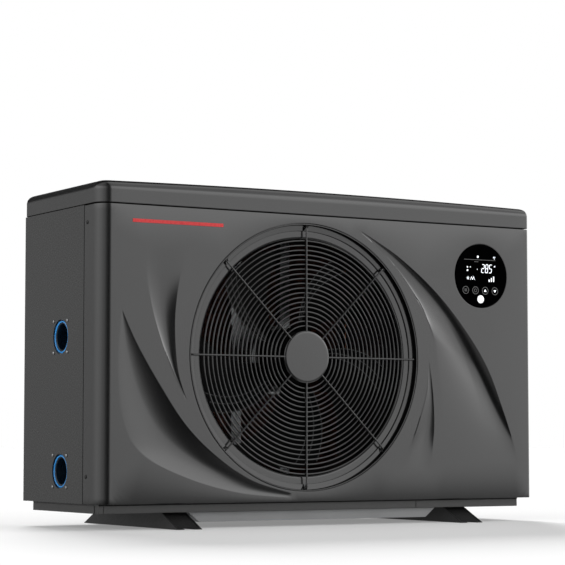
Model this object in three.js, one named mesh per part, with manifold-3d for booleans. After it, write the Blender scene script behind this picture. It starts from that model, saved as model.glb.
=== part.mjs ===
// Pool and spa heat pump unit, as an assembly of separate named pieces.
// Millimetres, +Z up. The origin is the middle of the footprint, on the ground; the front faces -Y.

import * as THREE from 'three';
import { mergeVertices } from 'three/addons/utils/BufferGeometryUtils.js';
import Module from 'manifold-3d';

const wasm = await Module();
wasm.setup();

// ---------- driving dimensions ----------
const HALF_WIDTH = 480; // cabinet, along X
const HALF_DEPTH = 160; // cabinet, along Y
const SEAM_LOW = 45.5; // lower edge of the cabinet panels
const SEAM_HIGH = 584.4; // joint between the panels and the top cover
const COVER_TOP = 625.3; // cover height at its two ends
const CROWN = 5.3; // how much higher the cover is at mid width
const COVER_FILLET = 16;
const CORNER_LEFT = 25; // the round vertical corner at the front left
const CORNER_TIGHT = 6; // the other vertical corners
const GAP = 0.3; // clearance between neighbouring pieces

const FRONT = -HALF_DEPTH;
const PANEL = 2.2; // moulded front panel thickness
const SHEET = 1.5; // side and rear sheet thickness
const WRAP_SEAM = -98.6; // where the front panel ends on the left side
const WRAP_RIGHT = 20; // how far it wraps round on the right
const SEAM_GAP = 1.2; // visible joint between the wrap and the side panels
const WRAP_SCREW_Y = -110;
const WRAP_SCREWS = { upper: 551.5, lower: 94.5 };
const REAR_RETURN = 14; // how far the side panels return along the rear
const REAR_SPLIT = 208.75; // joint between the rear guard and the rear panel

const FAN_X = -44.6;
const FAN_Z = 316;
const OPENING_R = 251; // fan opening in the front panel
const RECESS = 14; // depth of the step inside that opening
const FLANGE_R = 238; // inner edge of the step
const THROAT_R = 221; // narrowest radius of the bell mouth
const BLADE_TIP_R = 208;
const BLADE_ROOT_R = 58.9; // just clear of the hub
const BLADE_FRONT = -118;
const BLADE_RISE = 42; // how far a blade's trailing edge lies behind its leading edge
const BLADE_BULGE = 5;
const HUB_R = 58;
const BLADES = 5;
const FIRST_BLADE_DEGREES = 86; // root of a leading edge, from +X towards +Z

const GUARD_HUB_R = 47.5;
const WIRE_PITCH = 21.25;
const WIRE_RINGS = 8;
const WIRE = 2.6;
const SPOKES = 8;

const DISPLAY_X = 360.7;
const DISPLAY_Z = 484.8;
const DISPLAY_R = 62.8;
const KEY_X = 359.2;
const KEY_Z = 438.5;
const KEY_R = 8;

const PORT_HEIGHTS = { upper: 349.5, lower: 103 };
const PORT_HOLE_R = 32;
const COLLAR_R = 30;
const BORE_R = 23.7; // takes a 50 mm pipe spigot
const GLAND = [430, 0, 100]; // cable gland on the rear panel
const DRAIN_Y = 60;

const PORT_SCREW_REACH = 29; // half the side of the square of screws
const SCREW_PROUD = 2.2; // how far screw heads stand off the sides

const TRAY = { x0: -472, x1: 456, y0: -146, y1: 132, z0: 29, z1: 52, wall: 2 };
const FOOT_X = 312;
const FOOT_HALF_WIDTH = 25;
const FOOT_HALF_LENGTH = 193;
const FOOT_HALF_TOP = 131;
const FOOT_WALL = 2.5;

const COIL = { x0: -455, x1: 198, y0: 113, y1: 150, z0: 63, z1: 575 };
const BAY_LEFT_X = -312;
const BAY_RIGHT_X = 213;
const COMPRESSOR = { x: 332, y: 10, r: 60, plate: 80, top: 285 };
const EXCHANGER = { x: -378, y: 0, r: 56, wall: 5, z0: 31.4, z1: 440 };
const PIPE_GAS = { y: 85, z: 52, r: 6 };
const PIPE_LIQUID = { y: 60, z: 50, r: 5 };

// ---------- materials ----------
function finish(color, roughness, metalness) {
  return new THREE.MeshStandardMaterial({ color, roughness, metalness });
}

const anthracite = () => finish(0x55575a, 0.55, 0.1);
const sidePaint = () => finish(0x4b4d50, 0.6, 0.1);
const plinthPaint = () => finish(0x404244, 0.6, 0.2);
const footPaint = () => finish(0x3a3c3e, 0.55, 0.3);
const galvanised = () => finish(0x9a9c9e, 0.45, 0.7);
const blackPlastic = () => finish(0x141416, 0.5, 0);
const rubber = () => finish(0x0c0c0d, 0.85, 0);
const copper = () => finish(0xb06a42, 0.35, 0.95);
const bluePlastic = () => finish(0x1c7fd0, 0.35, 0);
const steel = () => finish(0xb5b8bb, 0.35, 0.9);

// ---------- shape helpers ----------
const unit = new THREE.Group();
unit.name = 'pool_heat_pump';

function clean(geometry) {
  const bare = geometry.clone();
  bare.deleteAttribute('normal');
  bare.deleteAttribute('uv');
  const merged = mergeVertices(bare, 1e-4);
  const position = merged.attributes.position;
  const kept = [];
  let volume = 0;
  const [a, b, c] = [new THREE.Vector3(), new THREE.Vector3(), new THREE.Vector3()];
  for (let i = 0; i < merged.index.count; i += 3) {
    const corner = [0, 1, 2].map((k) => merged.index.getX(i + k));
    if (new Set(corner).size < 3) continue;
    kept.push(corner);
    a.fromBufferAttribute(position, corner[0]);
    b.fromBufferAttribute(position, corner[1]);
    c.fromBufferAttribute(position, corner[2]);
    volume += a.dot(b.cross(c));
  }
  if (volume < 0) kept.forEach((corner) => corner.reverse());
  merged.setIndex(kept.flat());
  return merged;
}

function solid(geometry) {
  const closed = clean(geometry);
  const vertProperties = new Float32Array(closed.attributes.position.array);
  const triVerts = new Uint32Array(closed.index.array);
  return new wasm.Manifold(new wasm.Mesh({ numProp: 3, vertProperties, triVerts }));
}

function geometryOf(body) {
  const mesh = body.getMesh();
  const geometry = new THREE.BufferGeometry();
  geometry.setAttribute('position', new THREE.BufferAttribute(mesh.vertProperties, 3));
  geometry.setIndex(new THREE.BufferAttribute(mesh.triVerts, 1));
  return geometry;
}

function join(...geometries) {
  return geometryOf(geometries.map(solid).reduce((whole, next) => whole.add(next)));
}

function cut(geometry, ...tools) {
  return geometryOf(tools.map(solid).reduce((rest, tool) => rest.subtract(tool), solid(geometry)));
}

function add(name, geometry, material) {
  const mesh = new THREE.Mesh(clean(geometry), material);
  mesh.geometry.computeVertexNormals();
  mesh.name = name;
  unit.add(mesh);
  return mesh;
}

function block(x0, x1, y0, y1, z0, z1) {
  const box = new THREE.BoxGeometry(x1 - x0, y1 - y0, z1 - z0);
  return box.translate((x0 + x1) / 2, (y0 + y1) / 2, (z0 + z1) / 2);
}

// A body of revolution about an axis through `centre`; the profile is [radius, place along the axis].
function turned(axis, profile, centre, sides = 16) {
  const lathe = new THREE.LatheGeometry(profile.map(([r, at]) => new THREE.Vector2(r, at)), sides);
  if (axis === 'z') lathe.rotateX(Math.PI / 2);
  if (axis === 'x') lathe.rotateZ(-Math.PI / 2);
  return lathe.translate(...centre);
}

function rod(axis, radius, from, to, centre, sides = 10) {
  return turned(axis, [[0, from], [radius, from], [radius, to], [0, to]], centre, sides);
}

function ring(axis, inner, outer, from, to, centre, sides = 24) {
  const profile = [[inner, from], [outer, from], [outer, to], [inner, to], [inner, from]];
  return turned(axis, profile, centre, sides);
}

function arc(x, y, radius, startDegrees, endDegrees, steps) {
  return Array.from({ length: steps + 1 }, (_, i) => {
    const angle = THREE.MathUtils.degToRad(startDegrees + ((endDegrees - startDegrees) * i) / steps);
    return [x + radius * Math.cos(angle), y + radius * Math.sin(angle)];
  });
}

function outline(points) {
  return new THREE.Shape(points.map(([u, v]) => new THREE.Vector2(u, v)));
}

// An outline in plan (X, Y) raised from z0 to z1.
function raised(points, z0, z1) {
  const upright = new THREE.ExtrudeGeometry(outline(points), { depth: z1 - z0, bevelEnabled: false });
  return upright.translate(0, 0, z0);
}

// An outline in elevation (X, Z) as a plate from y0 to y1.
function plate(points, y0, y1) {
  const flat = new THREE.ExtrudeGeometry(outline(points), { depth: y1 - y0, bevelEnabled: false });
  return flat.rotateX(Math.PI / 2).translate(0, y1, 0);
}

// An outline in side view (Y, Z) as a slab from x0 to x1.
function slab(points, x0, x1) {
  const flat = new THREE.ExtrudeGeometry(outline(points), { depth: x1 - x0, bevelEnabled: false });
  return flat.rotateX(Math.PI / 2).rotateZ(Math.PI / 2).translate(x0, 0, 0);
}

function pipe(points, radius, steps = 14, sides = 8) {
  const path = new THREE.CatmullRomCurve3(points.map((p) => new THREE.Vector3(...p)), false, 'centripetal');
  const section = outline(arc(0, 0, radius, 0, 360 - 360 / sides, sides - 1));
  return new THREE.ExtrudeGeometry(section, { steps, extrudePath: path, bevelEnabled: false });
}

// A closed skin through rings of equal point count. Its first and last ring are closed by a fan or,
// where the rings run out along one side and back along the other, by a ladder between the two sides.
function loft(rings, ladder = false) {
  const count = rings[0].length;
  const points = rings.flat();
  const faces = [];
  for (let i = 0; i < rings.length - 1; i += 1) {
    for (let j = 0; j < count; j += 1) {
      const next = (j + 1) % count;
      const [a, b, c, d] = [i * count + j, i * count + next, (i + 1) * count + next, (i + 1) * count + j];
      faces.push(a, b, c, a, c, d);
    }
  }
  [0, rings.length - 1].forEach((row, end) => {
    if (ladder) {
      for (let j = 0; j < count / 2 - 1; j += 1) {
        const rung = [j, j + 1, count - 2 - j, count - 1 - j].map((k) => row * count + k);
        const [a, b, c, d] = end ? rung : rung.reverse();
        faces.push(a, b, c, a, c, d);
      }
      return;
    }
    const centre = rings[row].reduce((sum, p) => sum.map((v, k) => v + p[k] / count), [0, 0, 0]);
    const middle = points.push(centre) - 1;
    for (let j = 0; j < count; j += 1) {
      const [a, b] = [row * count + j, row * count + ((j + 1) % count)];
      faces.push(...(end ? [a, b, middle] : [b, a, middle]));
    }
  });
  const geometry = new THREE.BufferGeometry();
  geometry.setAttribute('position', new THREE.Float32BufferAttribute(points.flat(), 3));
  geometry.setIndex(faces);
  return geometry;
}

// ---------- cabinet ----------
function coverRing(inset, z, crown) {
  const corners = [[-1, -1, CORNER_LEFT], [1, -1, CORNER_TIGHT], [1, 1, CORNER_TIGHT], [-1, 1, CORNER_TIGHT]];
  const points = corners.flatMap(([sx, sy, corner], index) => {
    const radius = Math.max(corner - inset, 0.8);
    const x = sx * (HALF_WIDTH - inset - radius);
    const y = sy * (HALF_DEPTH - inset - radius);
    return arc(x, y, radius, 180 + 90 * index, 270 + 90 * index, 3);
  });
  const perCorner = points.length / corners.length;
  const along = (from, to) => [1, 2, 3].map((k) => [
    points[from][0] + ((points[to][0] - points[from][0]) * k) / 4,
    points[from][1] + ((points[to][1] - points[from][1]) * k) / 4,
  ]);
  const front = along(perCorner - 1, perCorner);
  const rear = along(3 * perCorner - 1, 3 * perCorner);
  const all = [
    ...points.slice(0, perCorner), ...front,
    ...points.slice(perCorner, 3 * perCorner), ...rear,
    ...points.slice(3 * perCorner),
  ];
  return all.map(([x, y]) => [x, y, z + crown * CROWN * (1 - (x / HALF_WIDTH) ** 2)]);
}

function coverSkin(inset, drop, bottom) {
  const radius = COVER_FILLET - inset;
  const top = COVER_TOP - drop;
  const fillet = [0, 30, 60, 90].map((degrees) => {
    const turn = THREE.MathUtils.degToRad(degrees);
    const lift = Math.sin(turn);
    return coverRing(inset + radius * (1 - Math.cos(turn)), top - radius + radius * lift, lift);
  });
  const deck = [80, 148].map((margin) => coverRing(margin, top, 1));
  return [coverRing(inset, bottom, 0), ...fillet, ...deck];
}

function topCover() {
  const wall = 3;
  const bottom = SEAM_HIGH + GAP;
  const outer = coverSkin(0, 0, bottom);
  const inner = coverSkin(wall, wall, bottom);
  add('top_cover', loft([...inner.reverse(), ...outer]), anthracite());
}

function curve(points) {
  return new THREE.SplineCurve(points.map(([x, z]) => new THREE.Vector2(x, z)));
}

// The four relief grooves. Each falls steeply from its sharp edge and rises back to its soft edge.
const GROOVES = [
  {
    sharp: [[-294, 519], [-322, 437], [-327, 337], [-303, 235]],
    soft: [[-384, 508], [-384, 430], [-367, 358], [-306, 236]],
    depth: 10,
  },
  {
    sharp: [[-431, 388], [-398, 321], [-306, 197], [-211, 106], [-79, 58]],
    soft: [[-434, 386], [-432, 290], [-417, 178], [-326, 115], [-190, 69], [-81, 54]],
    depth: 14,
  },
  {
    sharp: [[79, 560], [167, 504], [262, 414], [338, 347], [399, 255], [430, 160], [447, 100]],
    soft: [[78, 556], [132, 514], [179, 460], [214, 409], [242, 345], [258, 250], [280, 100]],
    depth: 12,
  },
  {
    sharp: [[235, 311], [246, 238], [247, 179], [236, 121], [231, 92]],
    soft: [[232, 309], [222, 237], [200, 179], [177, 131], [165, 92]],
    depth: 7,
  },
];

function groove({ sharp, soft, depth }, offset, lid) {
  const sections = 8;
  const sharpCurve = curve(sharp);
  const softCurve = curve(soft);
  const rings = Array.from({ length: sections + 1 }, (_, i) => {
    const at = i / sections;
    const edge = sharpCurve.getPoint(at);
    const far = softCurve.getPoint(at);
    const across = far.clone().sub(edge);
    const start = edge.clone().addScaledVector(across.clone().normalize(), -offset);
    const fall = depth * Math.sin(Math.PI * at) ** 0.8 + 0.05;
    const place = (share, y) => [start.x + across.x * share, y, start.y + across.y * share];
    const floor = FRONT + offset;
    return [
      place(0, lid),
      place(0, floor + fall * 0.5),
      place(0.12, floor + fall),
      place(0.5, floor + fall * 0.55),
      place(1, floor),
      place(1, lid),
    ];
  });
  return loft(rings);
}

function frontPanel() {
  const top = SEAM_HIGH;
  const low = SEAM_LOW + GAP;
  const shape = (inset) => [
    [-HALF_WIDTH + inset, WRAP_SEAM],
    ...arc(-HALF_WIDTH + CORNER_LEFT, FRONT + CORNER_LEFT, CORNER_LEFT - inset, 180, 270, 6),
    ...arc(HALF_WIDTH - CORNER_TIGHT, FRONT + CORNER_TIGHT, CORNER_TIGHT - inset, 270, 360, 3),
    [HALF_WIDTH - inset, FRONT + WRAP_RIGHT],
  ];
  const wrap = raised([...shape(0), ...shape(PANEL).reverse()], low, top);
  const centre = [FAN_X, 0, FAN_Z];
  const stepBack = FRONT + RECESS + PANEL;
  const step = ring('y', FLANGE_R, OPENING_R + PANEL, FRONT + 1, stepBack, centre, 48);
  const opening = rod('y', OPENING_R, FRONT - 10, FRONT + RECESS, centre, 48);
  const displayHole = rod('y', DISPLAY_R + 1, FRONT - 10, FRONT + 10, [DISPLAY_X, 0, DISPLAY_Z], 32);
  const screwHoles = Object.values(WRAP_SCREWS).map((z) => (
    rod('x', 2.3, -HALF_WIDTH - 5, -HALF_WIDTH + 5, [0, WRAP_SCREW_Y, z], 8)
  ));
  const backed = join(wrap, step, ...GROOVES.map((relief) => groove(relief, PANEL, FRONT + 1)));
  const grooves = GROOVES.map((relief) => groove(relief, 0, FRONT - 1));
  add('front_panel', cut(backed, opening, displayHole, ...screwHoles, ...grooves), anthracite());
}

// The strip behind the left wrap, with the two screws that hold the wrap to it.
function wrapFixing() {
  const head = -HALF_WIDTH - GAP;
  const behind = -HALF_WIDTH + PANEL + GAP;
  const screws = Object.values(WRAP_SCREWS).map((z) => turned('x', [
    [0, head - 1.9], [3, head - 1.9], [4, head], [2, head], [2, behind + 1], [0, behind + 1],
  ], [0, WRAP_SCREW_Y, z], 10));
  const [low, high] = [WRAP_SCREWS.lower - 20, WRAP_SCREWS.upper + 20];
  const strip = block(behind, behind + 2, WRAP_SCREW_Y - 7, WRAP_SCREW_Y + 7, low, high);
  add('wrap_fixing_strip', join(strip, ...screws), steel());
}

function sidePanels() {
  const low = SEAM_LOW + GAP;
  const corner = (sx, y0) => [
    [sx * HALF_WIDTH, y0], [sx * HALF_WIDTH, HALF_DEPTH], [sx * (HALF_WIDTH - REAR_RETURN), HALF_DEPTH],
    [sx * (HALF_WIDTH - REAR_RETURN), HALF_DEPTH - SHEET], [sx * (HALF_WIDTH - SHEET), HALF_DEPTH - SHEET],
    [sx * (HALF_WIDTH - SHEET), y0],
  ];
  const left = raised(corner(-1, WRAP_SEAM + SEAM_GAP), low, SEAM_HIGH);
  const holes = Object.values(PORT_HEIGHTS).flatMap((z) => [
    rod('x', PORT_HOLE_R, -HALF_WIDTH - 5, -HALF_WIDTH + 5, [0, 0, z], 24),
    ...screwPlaces(z).map(([y, at]) => rod('x', 2.6, -HALF_WIDTH - 5, -HALF_WIDTH + 5, [0, y, at], 6)),
  ]);
  add('left_side_panel', cut(left, ...holes), sidePaint());
  add('right_side_panel', raised(corner(1, FRONT + WRAP_RIGHT + SEAM_GAP), low, SEAM_HIGH), sidePaint());
  add('terminal_cover', terminalCover(), blackPlastic());
}

function terminalCover() {
  const shape = outline([
    ...arc(44, 34, 6, 0, 90, 3), ...arc(-44, 34, 6, 90, 180, 3),
    ...arc(-44, -34, 6, 180, 270, 3), ...arc(44, -34, 6, 270, 360, 3),
  ]);
  const options = { depth: 0.9, bevelThickness: 0.5, bevelSize: 0.8, bevelSegments: 1 };
  const cover = new THREE.ExtrudeGeometry(shape, options);
  return cover.rotateX(Math.PI / 2).rotateZ(Math.PI / 2).translate(HALF_WIDTH + GAP + 0.5, 60, 490);
}

function rearPanel() {
  const [x0, x1] = [REAR_SPLIT + GAP, HALF_WIDTH - REAR_RETURN - GAP];
  const sheet = block(x0, x1, HALF_DEPTH - SHEET, HALF_DEPTH, SEAM_LOW + GAP, SEAM_HIGH);
  const hole = rod('y', 9.4, HALF_DEPTH - 5, HALF_DEPTH + 5, GLAND, 20);
  add('rear_panel', cut(sheet, hole), sidePaint());
  const body = turned('y', [
    [5.5, 152], [13, 152], [13, 157.9], [9, 157.9], [9, 160.3], [14, 160.3], [14, 168],
    [12, 169], [12, 178], [9, 184], [5.5, 184], [5.5, 152],
  ], GLAND, 12);
  add('cable_gland', body, blackPlastic());
}

function rearGuard() {
  const [x0, x1] = [-HALF_WIDTH + REAR_RETURN + GAP, REAR_SPLIT - GAP];
  const [z0, z1] = [SEAM_LOW + GAP, SEAM_HIGH];
  const [columns, rows, bar, frame] = [4, 7, 3.5, 12];
  const wide = (x1 - x0 - 2 * frame + bar) / columns;
  const high = (z1 - z0 - 2 * frame + bar) / rows;
  const holes = [];
  for (let i = 0; i < columns; i += 1) {
    for (let j = 0; j < rows; j += 1) {
      const [left, low] = [x0 + frame + i * wide, z0 + frame + j * high];
      holes.push(block(left, left + wide - bar, HALF_DEPTH - 5, HALF_DEPTH + 5, low, low + high - bar));
    }
  }
  add('rear_guard', cut(block(x0, x1, HALF_DEPTH - 3, HALF_DEPTH, z0, z1), ...holes), sidePaint());
}

// ---------- base and feet ----------
function baseTray() {
  const { x0, x1, y0, y1, z0, z1, wall } = TRAY;
  const lip = block(-HALF_WIDTH + 4, HALF_WIDTH - 4, FRONT + 4, HALF_DEPTH - 4, z1 - 2, z1);
  const pan = join(block(x0, x1, y0, y1, z0, z1), lip);
  const inside = block(x0 + wall, x1 - wall, y0 + wall, y1 - wall, z0 + wall, z1 + 5);
  const corner = -HALF_WIDTH + CORNER_LEFT + 5;
  const cornerRelief = [
    block(-HALF_WIDTH, corner, FRONT, y0 - GAP, z1 - 3, z1 + 1),
    block(-HALF_WIDTH, x0 - GAP, FRONT, FRONT + CORNER_LEFT + 5, z1 - 3, z1 + 1),
  ];
  const drain = rod('z', 9.4, z0 - 5, z0 + 5, [FAN_X, DRAIN_Y, 0], 20);
  add('base_tray', cut(pan, inside, ...cornerRelief, drain), plinthPaint());
  const nipple = turned('z', [
    [6.5, 14], [8, 14], [9, 16], [9, 31.3], [14, 31.3], [14, 33.5], [6.5, 33.5], [6.5, 14],
  ], [FAN_X, DRAIN_Y, 0], 12);
  add('condensate_nipple', nipple, blackPlastic());
}

function crossRails() {
  const [top, low, wall] = [TRAY.z0 - GAP, 10.8, 2];
  const side = (inset, dropTop, dropLow) => [
    [-262 + inset, top - dropTop], [262 - inset, top - dropTop],
    [240 - inset, low - dropLow], [-240 + inset, low - dropLow],
  ];
  Object.entries({ front: -137, rear: 97 }).forEach(([where, y]) => {
    const hollow = plate(side(wall, wall, 0.5), y + wall, y + 40 - wall);
    add(`cross_rail_${where}`, cut(plate(side(0, 0, 0), y, y + 40), hollow), galvanised());
  });
}

function feet() {
  const top = TRAY.z0 - GAP;
  const run = (FOOT_HALF_LENGTH - FOOT_HALF_TOP) / top;
  const side = [[-FOOT_HALF_LENGTH, 0], [FOOT_HALF_LENGTH, 0], [FOOT_HALF_TOP, top], [-FOOT_HALF_TOP, top]];
  const innerWidth = FOOT_HALF_WIDTH - FOOT_WALL;
  Object.entries({ left: -FOOT_X, right: FOOT_X }).forEach(([where, x]) => {
    const long = FOOT_HALF_LENGTH + 10;
    const channel = block(x - innerWidth, x + innerWidth, -long, long, FOOT_WALL, top - FOOT_WALL);
    const slot = block(x - 11, x + 11, -long, long, -5, FOOT_WALL + 1);
    const bar = slab(side, x - FOOT_HALF_WIDTH, x + FOOT_HALF_WIDTH);
    add(`foot_${where}`, cut(bar, channel, slot), footPaint());
    [['front', -1], ['rear', 1]].forEach(([end, sign]) => {
      const [low, high, back] = [FOOT_WALL + GAP, top - FOOT_WALL - GAP, 3];
      const reach = (z) => sign * (FOOT_HALF_LENGTH - back - run * z);
      const profile = [[reach(low), low], [reach(high), high], [sign * 110, high], [sign * 110, low]];
      const half = innerWidth - GAP;
      add(`foot_plug_${where}_${end}`, slab(profile, x - half, x + half), rubber());
    });
  });
}

// ---------- fan ----------
function fanGuard() {
  const centre = [FAN_X, 0, FAN_Z];
  const [spokeY, ringY] = [FRONT + 3, FRONT + 5.6];
  const parts = [turned('y', [
    [0, spokeY - 2], [GUARD_HUB_R - 3, spokeY - 2], [GUARD_HUB_R, spokeY],
    [GUARD_HUB_R, ringY + 1], [0, ringY + 1],
  ], centre, 32)];
  for (let i = 1; i <= WIRE_RINGS; i += 1) {
    const radius = GUARD_HUB_R + WIRE_PITCH * i;
    const profile = [[radius - WIRE / 2, ringY], [radius + WIRE / 2, ringY], [radius, ringY + WIRE]];
    parts.push(turned('y', [...profile, profile[0]], centre, 16));
  }
  for (let i = 0; i < SPOKES; i += 1) {
    const [start, end, hookEnd] = [GUARD_HUB_R - 8, 247, FRONT + RECESS - GAP];
    const side = [
      [start, spokeY - 2], [end, spokeY - 2], [end, hookEnd], [end - 4, hookEnd],
      [end - 4, ringY + 1], [start, ringY + 1],
    ];
    const spoke = raised(side, -2, 2);
    parts.push(spoke.rotateY((i * 2 * Math.PI) / SPOKES).translate(...centre));
  }
  add('fan_guard', join(...parts), anthracite());
}

function fanShroud() {
  const back = FRONT + RECESS + PANEL + GAP;
  const bell = [
    [256, back], [FLANGE_R - 1, back], [226, back + 6], [THROAT_R, back + 16],
    [THROAT_R, back + 60], [THROAT_R + 2, back + 60], [THROAT_R + 2, back + 17], [228, back + 8],
    [FLANGE_R, back + 2], [256, back + 2], [256, back],
  ];
  add('fan_shroud', turned('y', bell, [FAN_X, 0, FAN_Z], 36), blackPlastic());
}

// A blade twists back as it goes outwards, and its chord grows by 8 degrees.
function blade(rootAngle) {
  const [stations, across, thick] = [4, 3, 3];
  const rings = Array.from({ length: stations + 1 }, (_, i) => {
    const share = i / stations;
    const radius = BLADE_ROOT_R + share * (BLADE_TIP_R - BLADE_ROOT_R);
    const front = rootAngle - 20 * share;
    const chord = 40 + 8 * share;
    const edge = (offset) => [0, 1, 2, 3].map((j) => {
      const along = j / across;
      const angle = THREE.MathUtils.degToRad(front - chord * along);
      const y = BLADE_FRONT + BLADE_RISE * along + BLADE_BULGE * Math.sin(Math.PI * along) + offset;
      return [radius * Math.cos(angle), y, radius * Math.sin(angle)];
    });
    return [...edge(0), ...edge(thick).reverse()];
  });
  return loft(rings, true);
}

function fan() {
  const centre = [FAN_X, 0, FAN_Z];
  const hub = turned('y', [
    [6.8, -112], [48, -112], [HUB_R, -104], [HUB_R, -72], [HUB_R - 4, -72],
    [HUB_R - 4, -102], [6.8, -102], [6.8, -112],
  ], centre, 20);
  add('fan_hub', hub, blackPlastic());
  for (let i = 0; i < BLADES; i += 1) {
    const turn = FIRST_BLADE_DEGREES + (360 / BLADES) * i;
    add(`fan_blade_${i + 1}`, blade(turn).translate(...centre), blackPlastic());
  }
  const nut = rod('y', 12, -120.5, -112.3, centre, 6);
  add('fan_shaft', join(rod('y', 6, -124, -54, centre, 16), nut), steel());
  const motor = turned('y', [
    [6.6, -66], [22, -66], [24, -60], [58, -56], [62, -50], [62, 4], [56, 10], [0, 10],
    [0, -51], [6.6, -51], [6.6, -66],
  ], centre, 20);
  add('fan_motor', motor, galvanised());
  const rails = [-66, 44].map((x) => block(FAN_X + x, FAN_X + x + 22, 13, 30, 31.4, 583));
  const face = block(FAN_X - 66, FAN_X + 66, 10.4, 13.5, FAN_Z - 66, FAN_Z + 66);
  add('motor_bracket', join(...rails, face), galvanised());
}

// ---------- evaporator and bays ----------
function evaporator() {
  const { x0, x1, y0, y1, z0, z1 } = COIL;
  add('evaporator_coil', block(x0, x1, y0, y1, z0, z1), finish(0xa9acae, 0.5, 0.8));
  const rows = 5;
  const span = (z1 - z0) / rows;
  const bends = (x, out) => Array.from({ length: rows }, (_, i) => {
    const z = z0 + span * (i + 0.25);
    const y = (y0 + y1) / 2;
    const reach = x + out * 14;
    const turn = [[x, y, z], [x + out * 6, y, z], [reach, y, z + 12], [reach, y, z + 24]];
    return pipe([...turn, [x + out * 6, y, z + 36], [x, y, z + 36]], 5, 7, 5);
  });
  const sheet = (x) => block(x, x + 2, y0 - 3, y1 + 3, z0 - 1, z1 + 1);
  add('coil_end_plate_left', join(sheet(x0 - 2.3), ...bends(x0 - 1.5, -1)), galvanised());
  add('coil_end_plate_right', sheet(x1 + GAP), galvanised());
  const stubs = [0.2, 0.4, 0.6, 0.8].map((at) => {
    const z = 200 + at * 340;
    return rod('x', 4, x1 + 3, 232, [0, 131, z], 8);
  });
  add('coil_header', join(rod('z', 8, 200, 540, [232, 131, 0], 12), ...stubs), copper());
}

function partitions() {
  const [y0, y1, z0, z1] = [TRAY.y0 + TRAY.wall + GAP, 106, TRAY.z0 + TRAY.wall + GAP, 583];
  Object.entries({ left: BAY_LEFT_X, right: BAY_RIGHT_X }).forEach(([side, x]) => {
    const holes = [PIPE_GAS, PIPE_LIQUID].map(({ y, z, r }) => rod('x', r + 3, x - 5, x + 5, [0, y, z], 12));
    add(`bay_partition_${side}`, cut(block(x, x + 1.2, y0, y1, z0, z1), ...holes), galvanised());
  });
}

// ---------- refrigerant circuit ----------
function compressor() {
  const { x, y, r, plate: plateRadius, top } = COMPRESSOR;
  const bolt = (i) => arc(x, y, 68, 90 + 120 * i, 90 + 120 * i, 1)[0];
  const shell = turned('z', [
    [0, 46], [plateRadius, 46], [plateRadius, 49], [r - 16, 49], [r, 62], [r, top - 22],
    [r - 6, top - 10], [r - 20, top], [0, top],
  ], [x, y, 0], 20);
  const mounts = [0, 1, 2].map((i) => turned('z', [
    [0, 31.4], [15, 31.4], [12, 38], [14, 47], [0, 47],
  ], [...bolt(i), 0], 12));
  add('compressor', join(shell, ...mounts), blackPlastic());
  const tank = turned('z', [
    [0, 76], [12, 76], [26, 82], [30, 90], [30, 226], [26, 234], [12, 240], [0, 240],
  ], [430, 60, 0], 16);
  const outlet = pipe([[430, 60, 79], [430, 60, 64], [416, 53, 57], [392, 42, 62]], 6, 8, 8);
  add('suction_accumulator', join(tank, outlet), blackPlastic());
}

function refrigerantValves() {
  const body = rod('x', 13, 272, 358, [0, 70, 370], 16);
  const stubs = [292, 315, 338].map((x) => rod('z', 7, 345, 365, [x, 70, 0], 10));
  add('four_way_valve', join(body, rod('z', 6, 372, 400, [315, 70, 0], 10), ...stubs), copper());
  const stem = turned('z', [
    [0, 110], [9, 110], [11, 116], [11, 158], [18, 158], [18, 186], [8, 190], [0, 190],
  ], [240, 64, 0], 12);
  const outlet = pipe([
    [240, 68, 130], [240, 100, 130], [236, 126, 130], [218, 131, 130], [201, 131, 130],
  ], 4, 10);
  add('expansion_valve', join(stem, outlet), finish(0xb08d57, 0.4, 0.9));
}

function refrigerantPipes() {
  const crossing = ({ y, z }) => [[215, y, z], [190, y, z], [-280, y, z], [-314, y, z]];
  const routes = {
    discharge_pipe: [6, 16, [
      [COMPRESSOR.x - 20, 22, COMPRESSOR.top + GAP], [COMPRESSOR.x - 20, 22, 330],
      [COMPRESSOR.x - 18, 22, 415], [COMPRESSOR.x - 17, 44, 440], [315, 70, 426], [315, 70, 400.4],
    ]],
    suction_pipe: [6.5, 16, [
      [315, 70, 344.6], [315, 70, 334], [322, 82, 318], [350, 98, 306], [410, 90, 300],
      [430, 62, 280], [430, 60, 262], [430, 60, 240.6],
    ]],
    coil_gas_pipe: [6.5, 16, [
      [338, 70, 344.6], [338, 70, 336], [334, 96, 326], [322, 126, 330], [290, 133, 338],
      [262, 131, 340], [240.5, 131, 340],
    ]],
    exchanger_gas_pipe: [PIPE_GAS.r, 36, [
      [292, 70, 344.6], [292, 70, 335], [286, 84, 320], [270, 105, 300], [264, 110, 200],
      [260, 108, 90], [240, 90, 54],
      ...crossing(PIPE_GAS),
      [-350, 85, 54], [-378, 85, 85], [-378, 85, 400], [-378, 82, 450], [-378, 50, 472],
      [-378, 26, 466], [-378, 25, 458], [-378, 25, 448.6],
    ]],
    liquid_pipe: [PIPE_LIQUID.r, 32, [
      [240, 64, 109.4], [240, 64, 80], [232, 61, 54],
      ...crossing(PIPE_LIQUID),
      [-334, 62, 56], [-346, 64, 80], [-346, 62, 96], [-346, 53, 100],
    ]],
  };
  Object.entries(routes).forEach(([name, [radius, steps, points]]) => {
    add(name, pipe(points, radius, steps, 6), copper());
  });
}

// ---------- water side ----------
function screwPlaces(z) {
  const reach = PORT_SCREW_REACH;
  return [[-reach, z - reach], [-reach, z + reach], [reach, z - reach], [reach, z + reach]];
}

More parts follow.
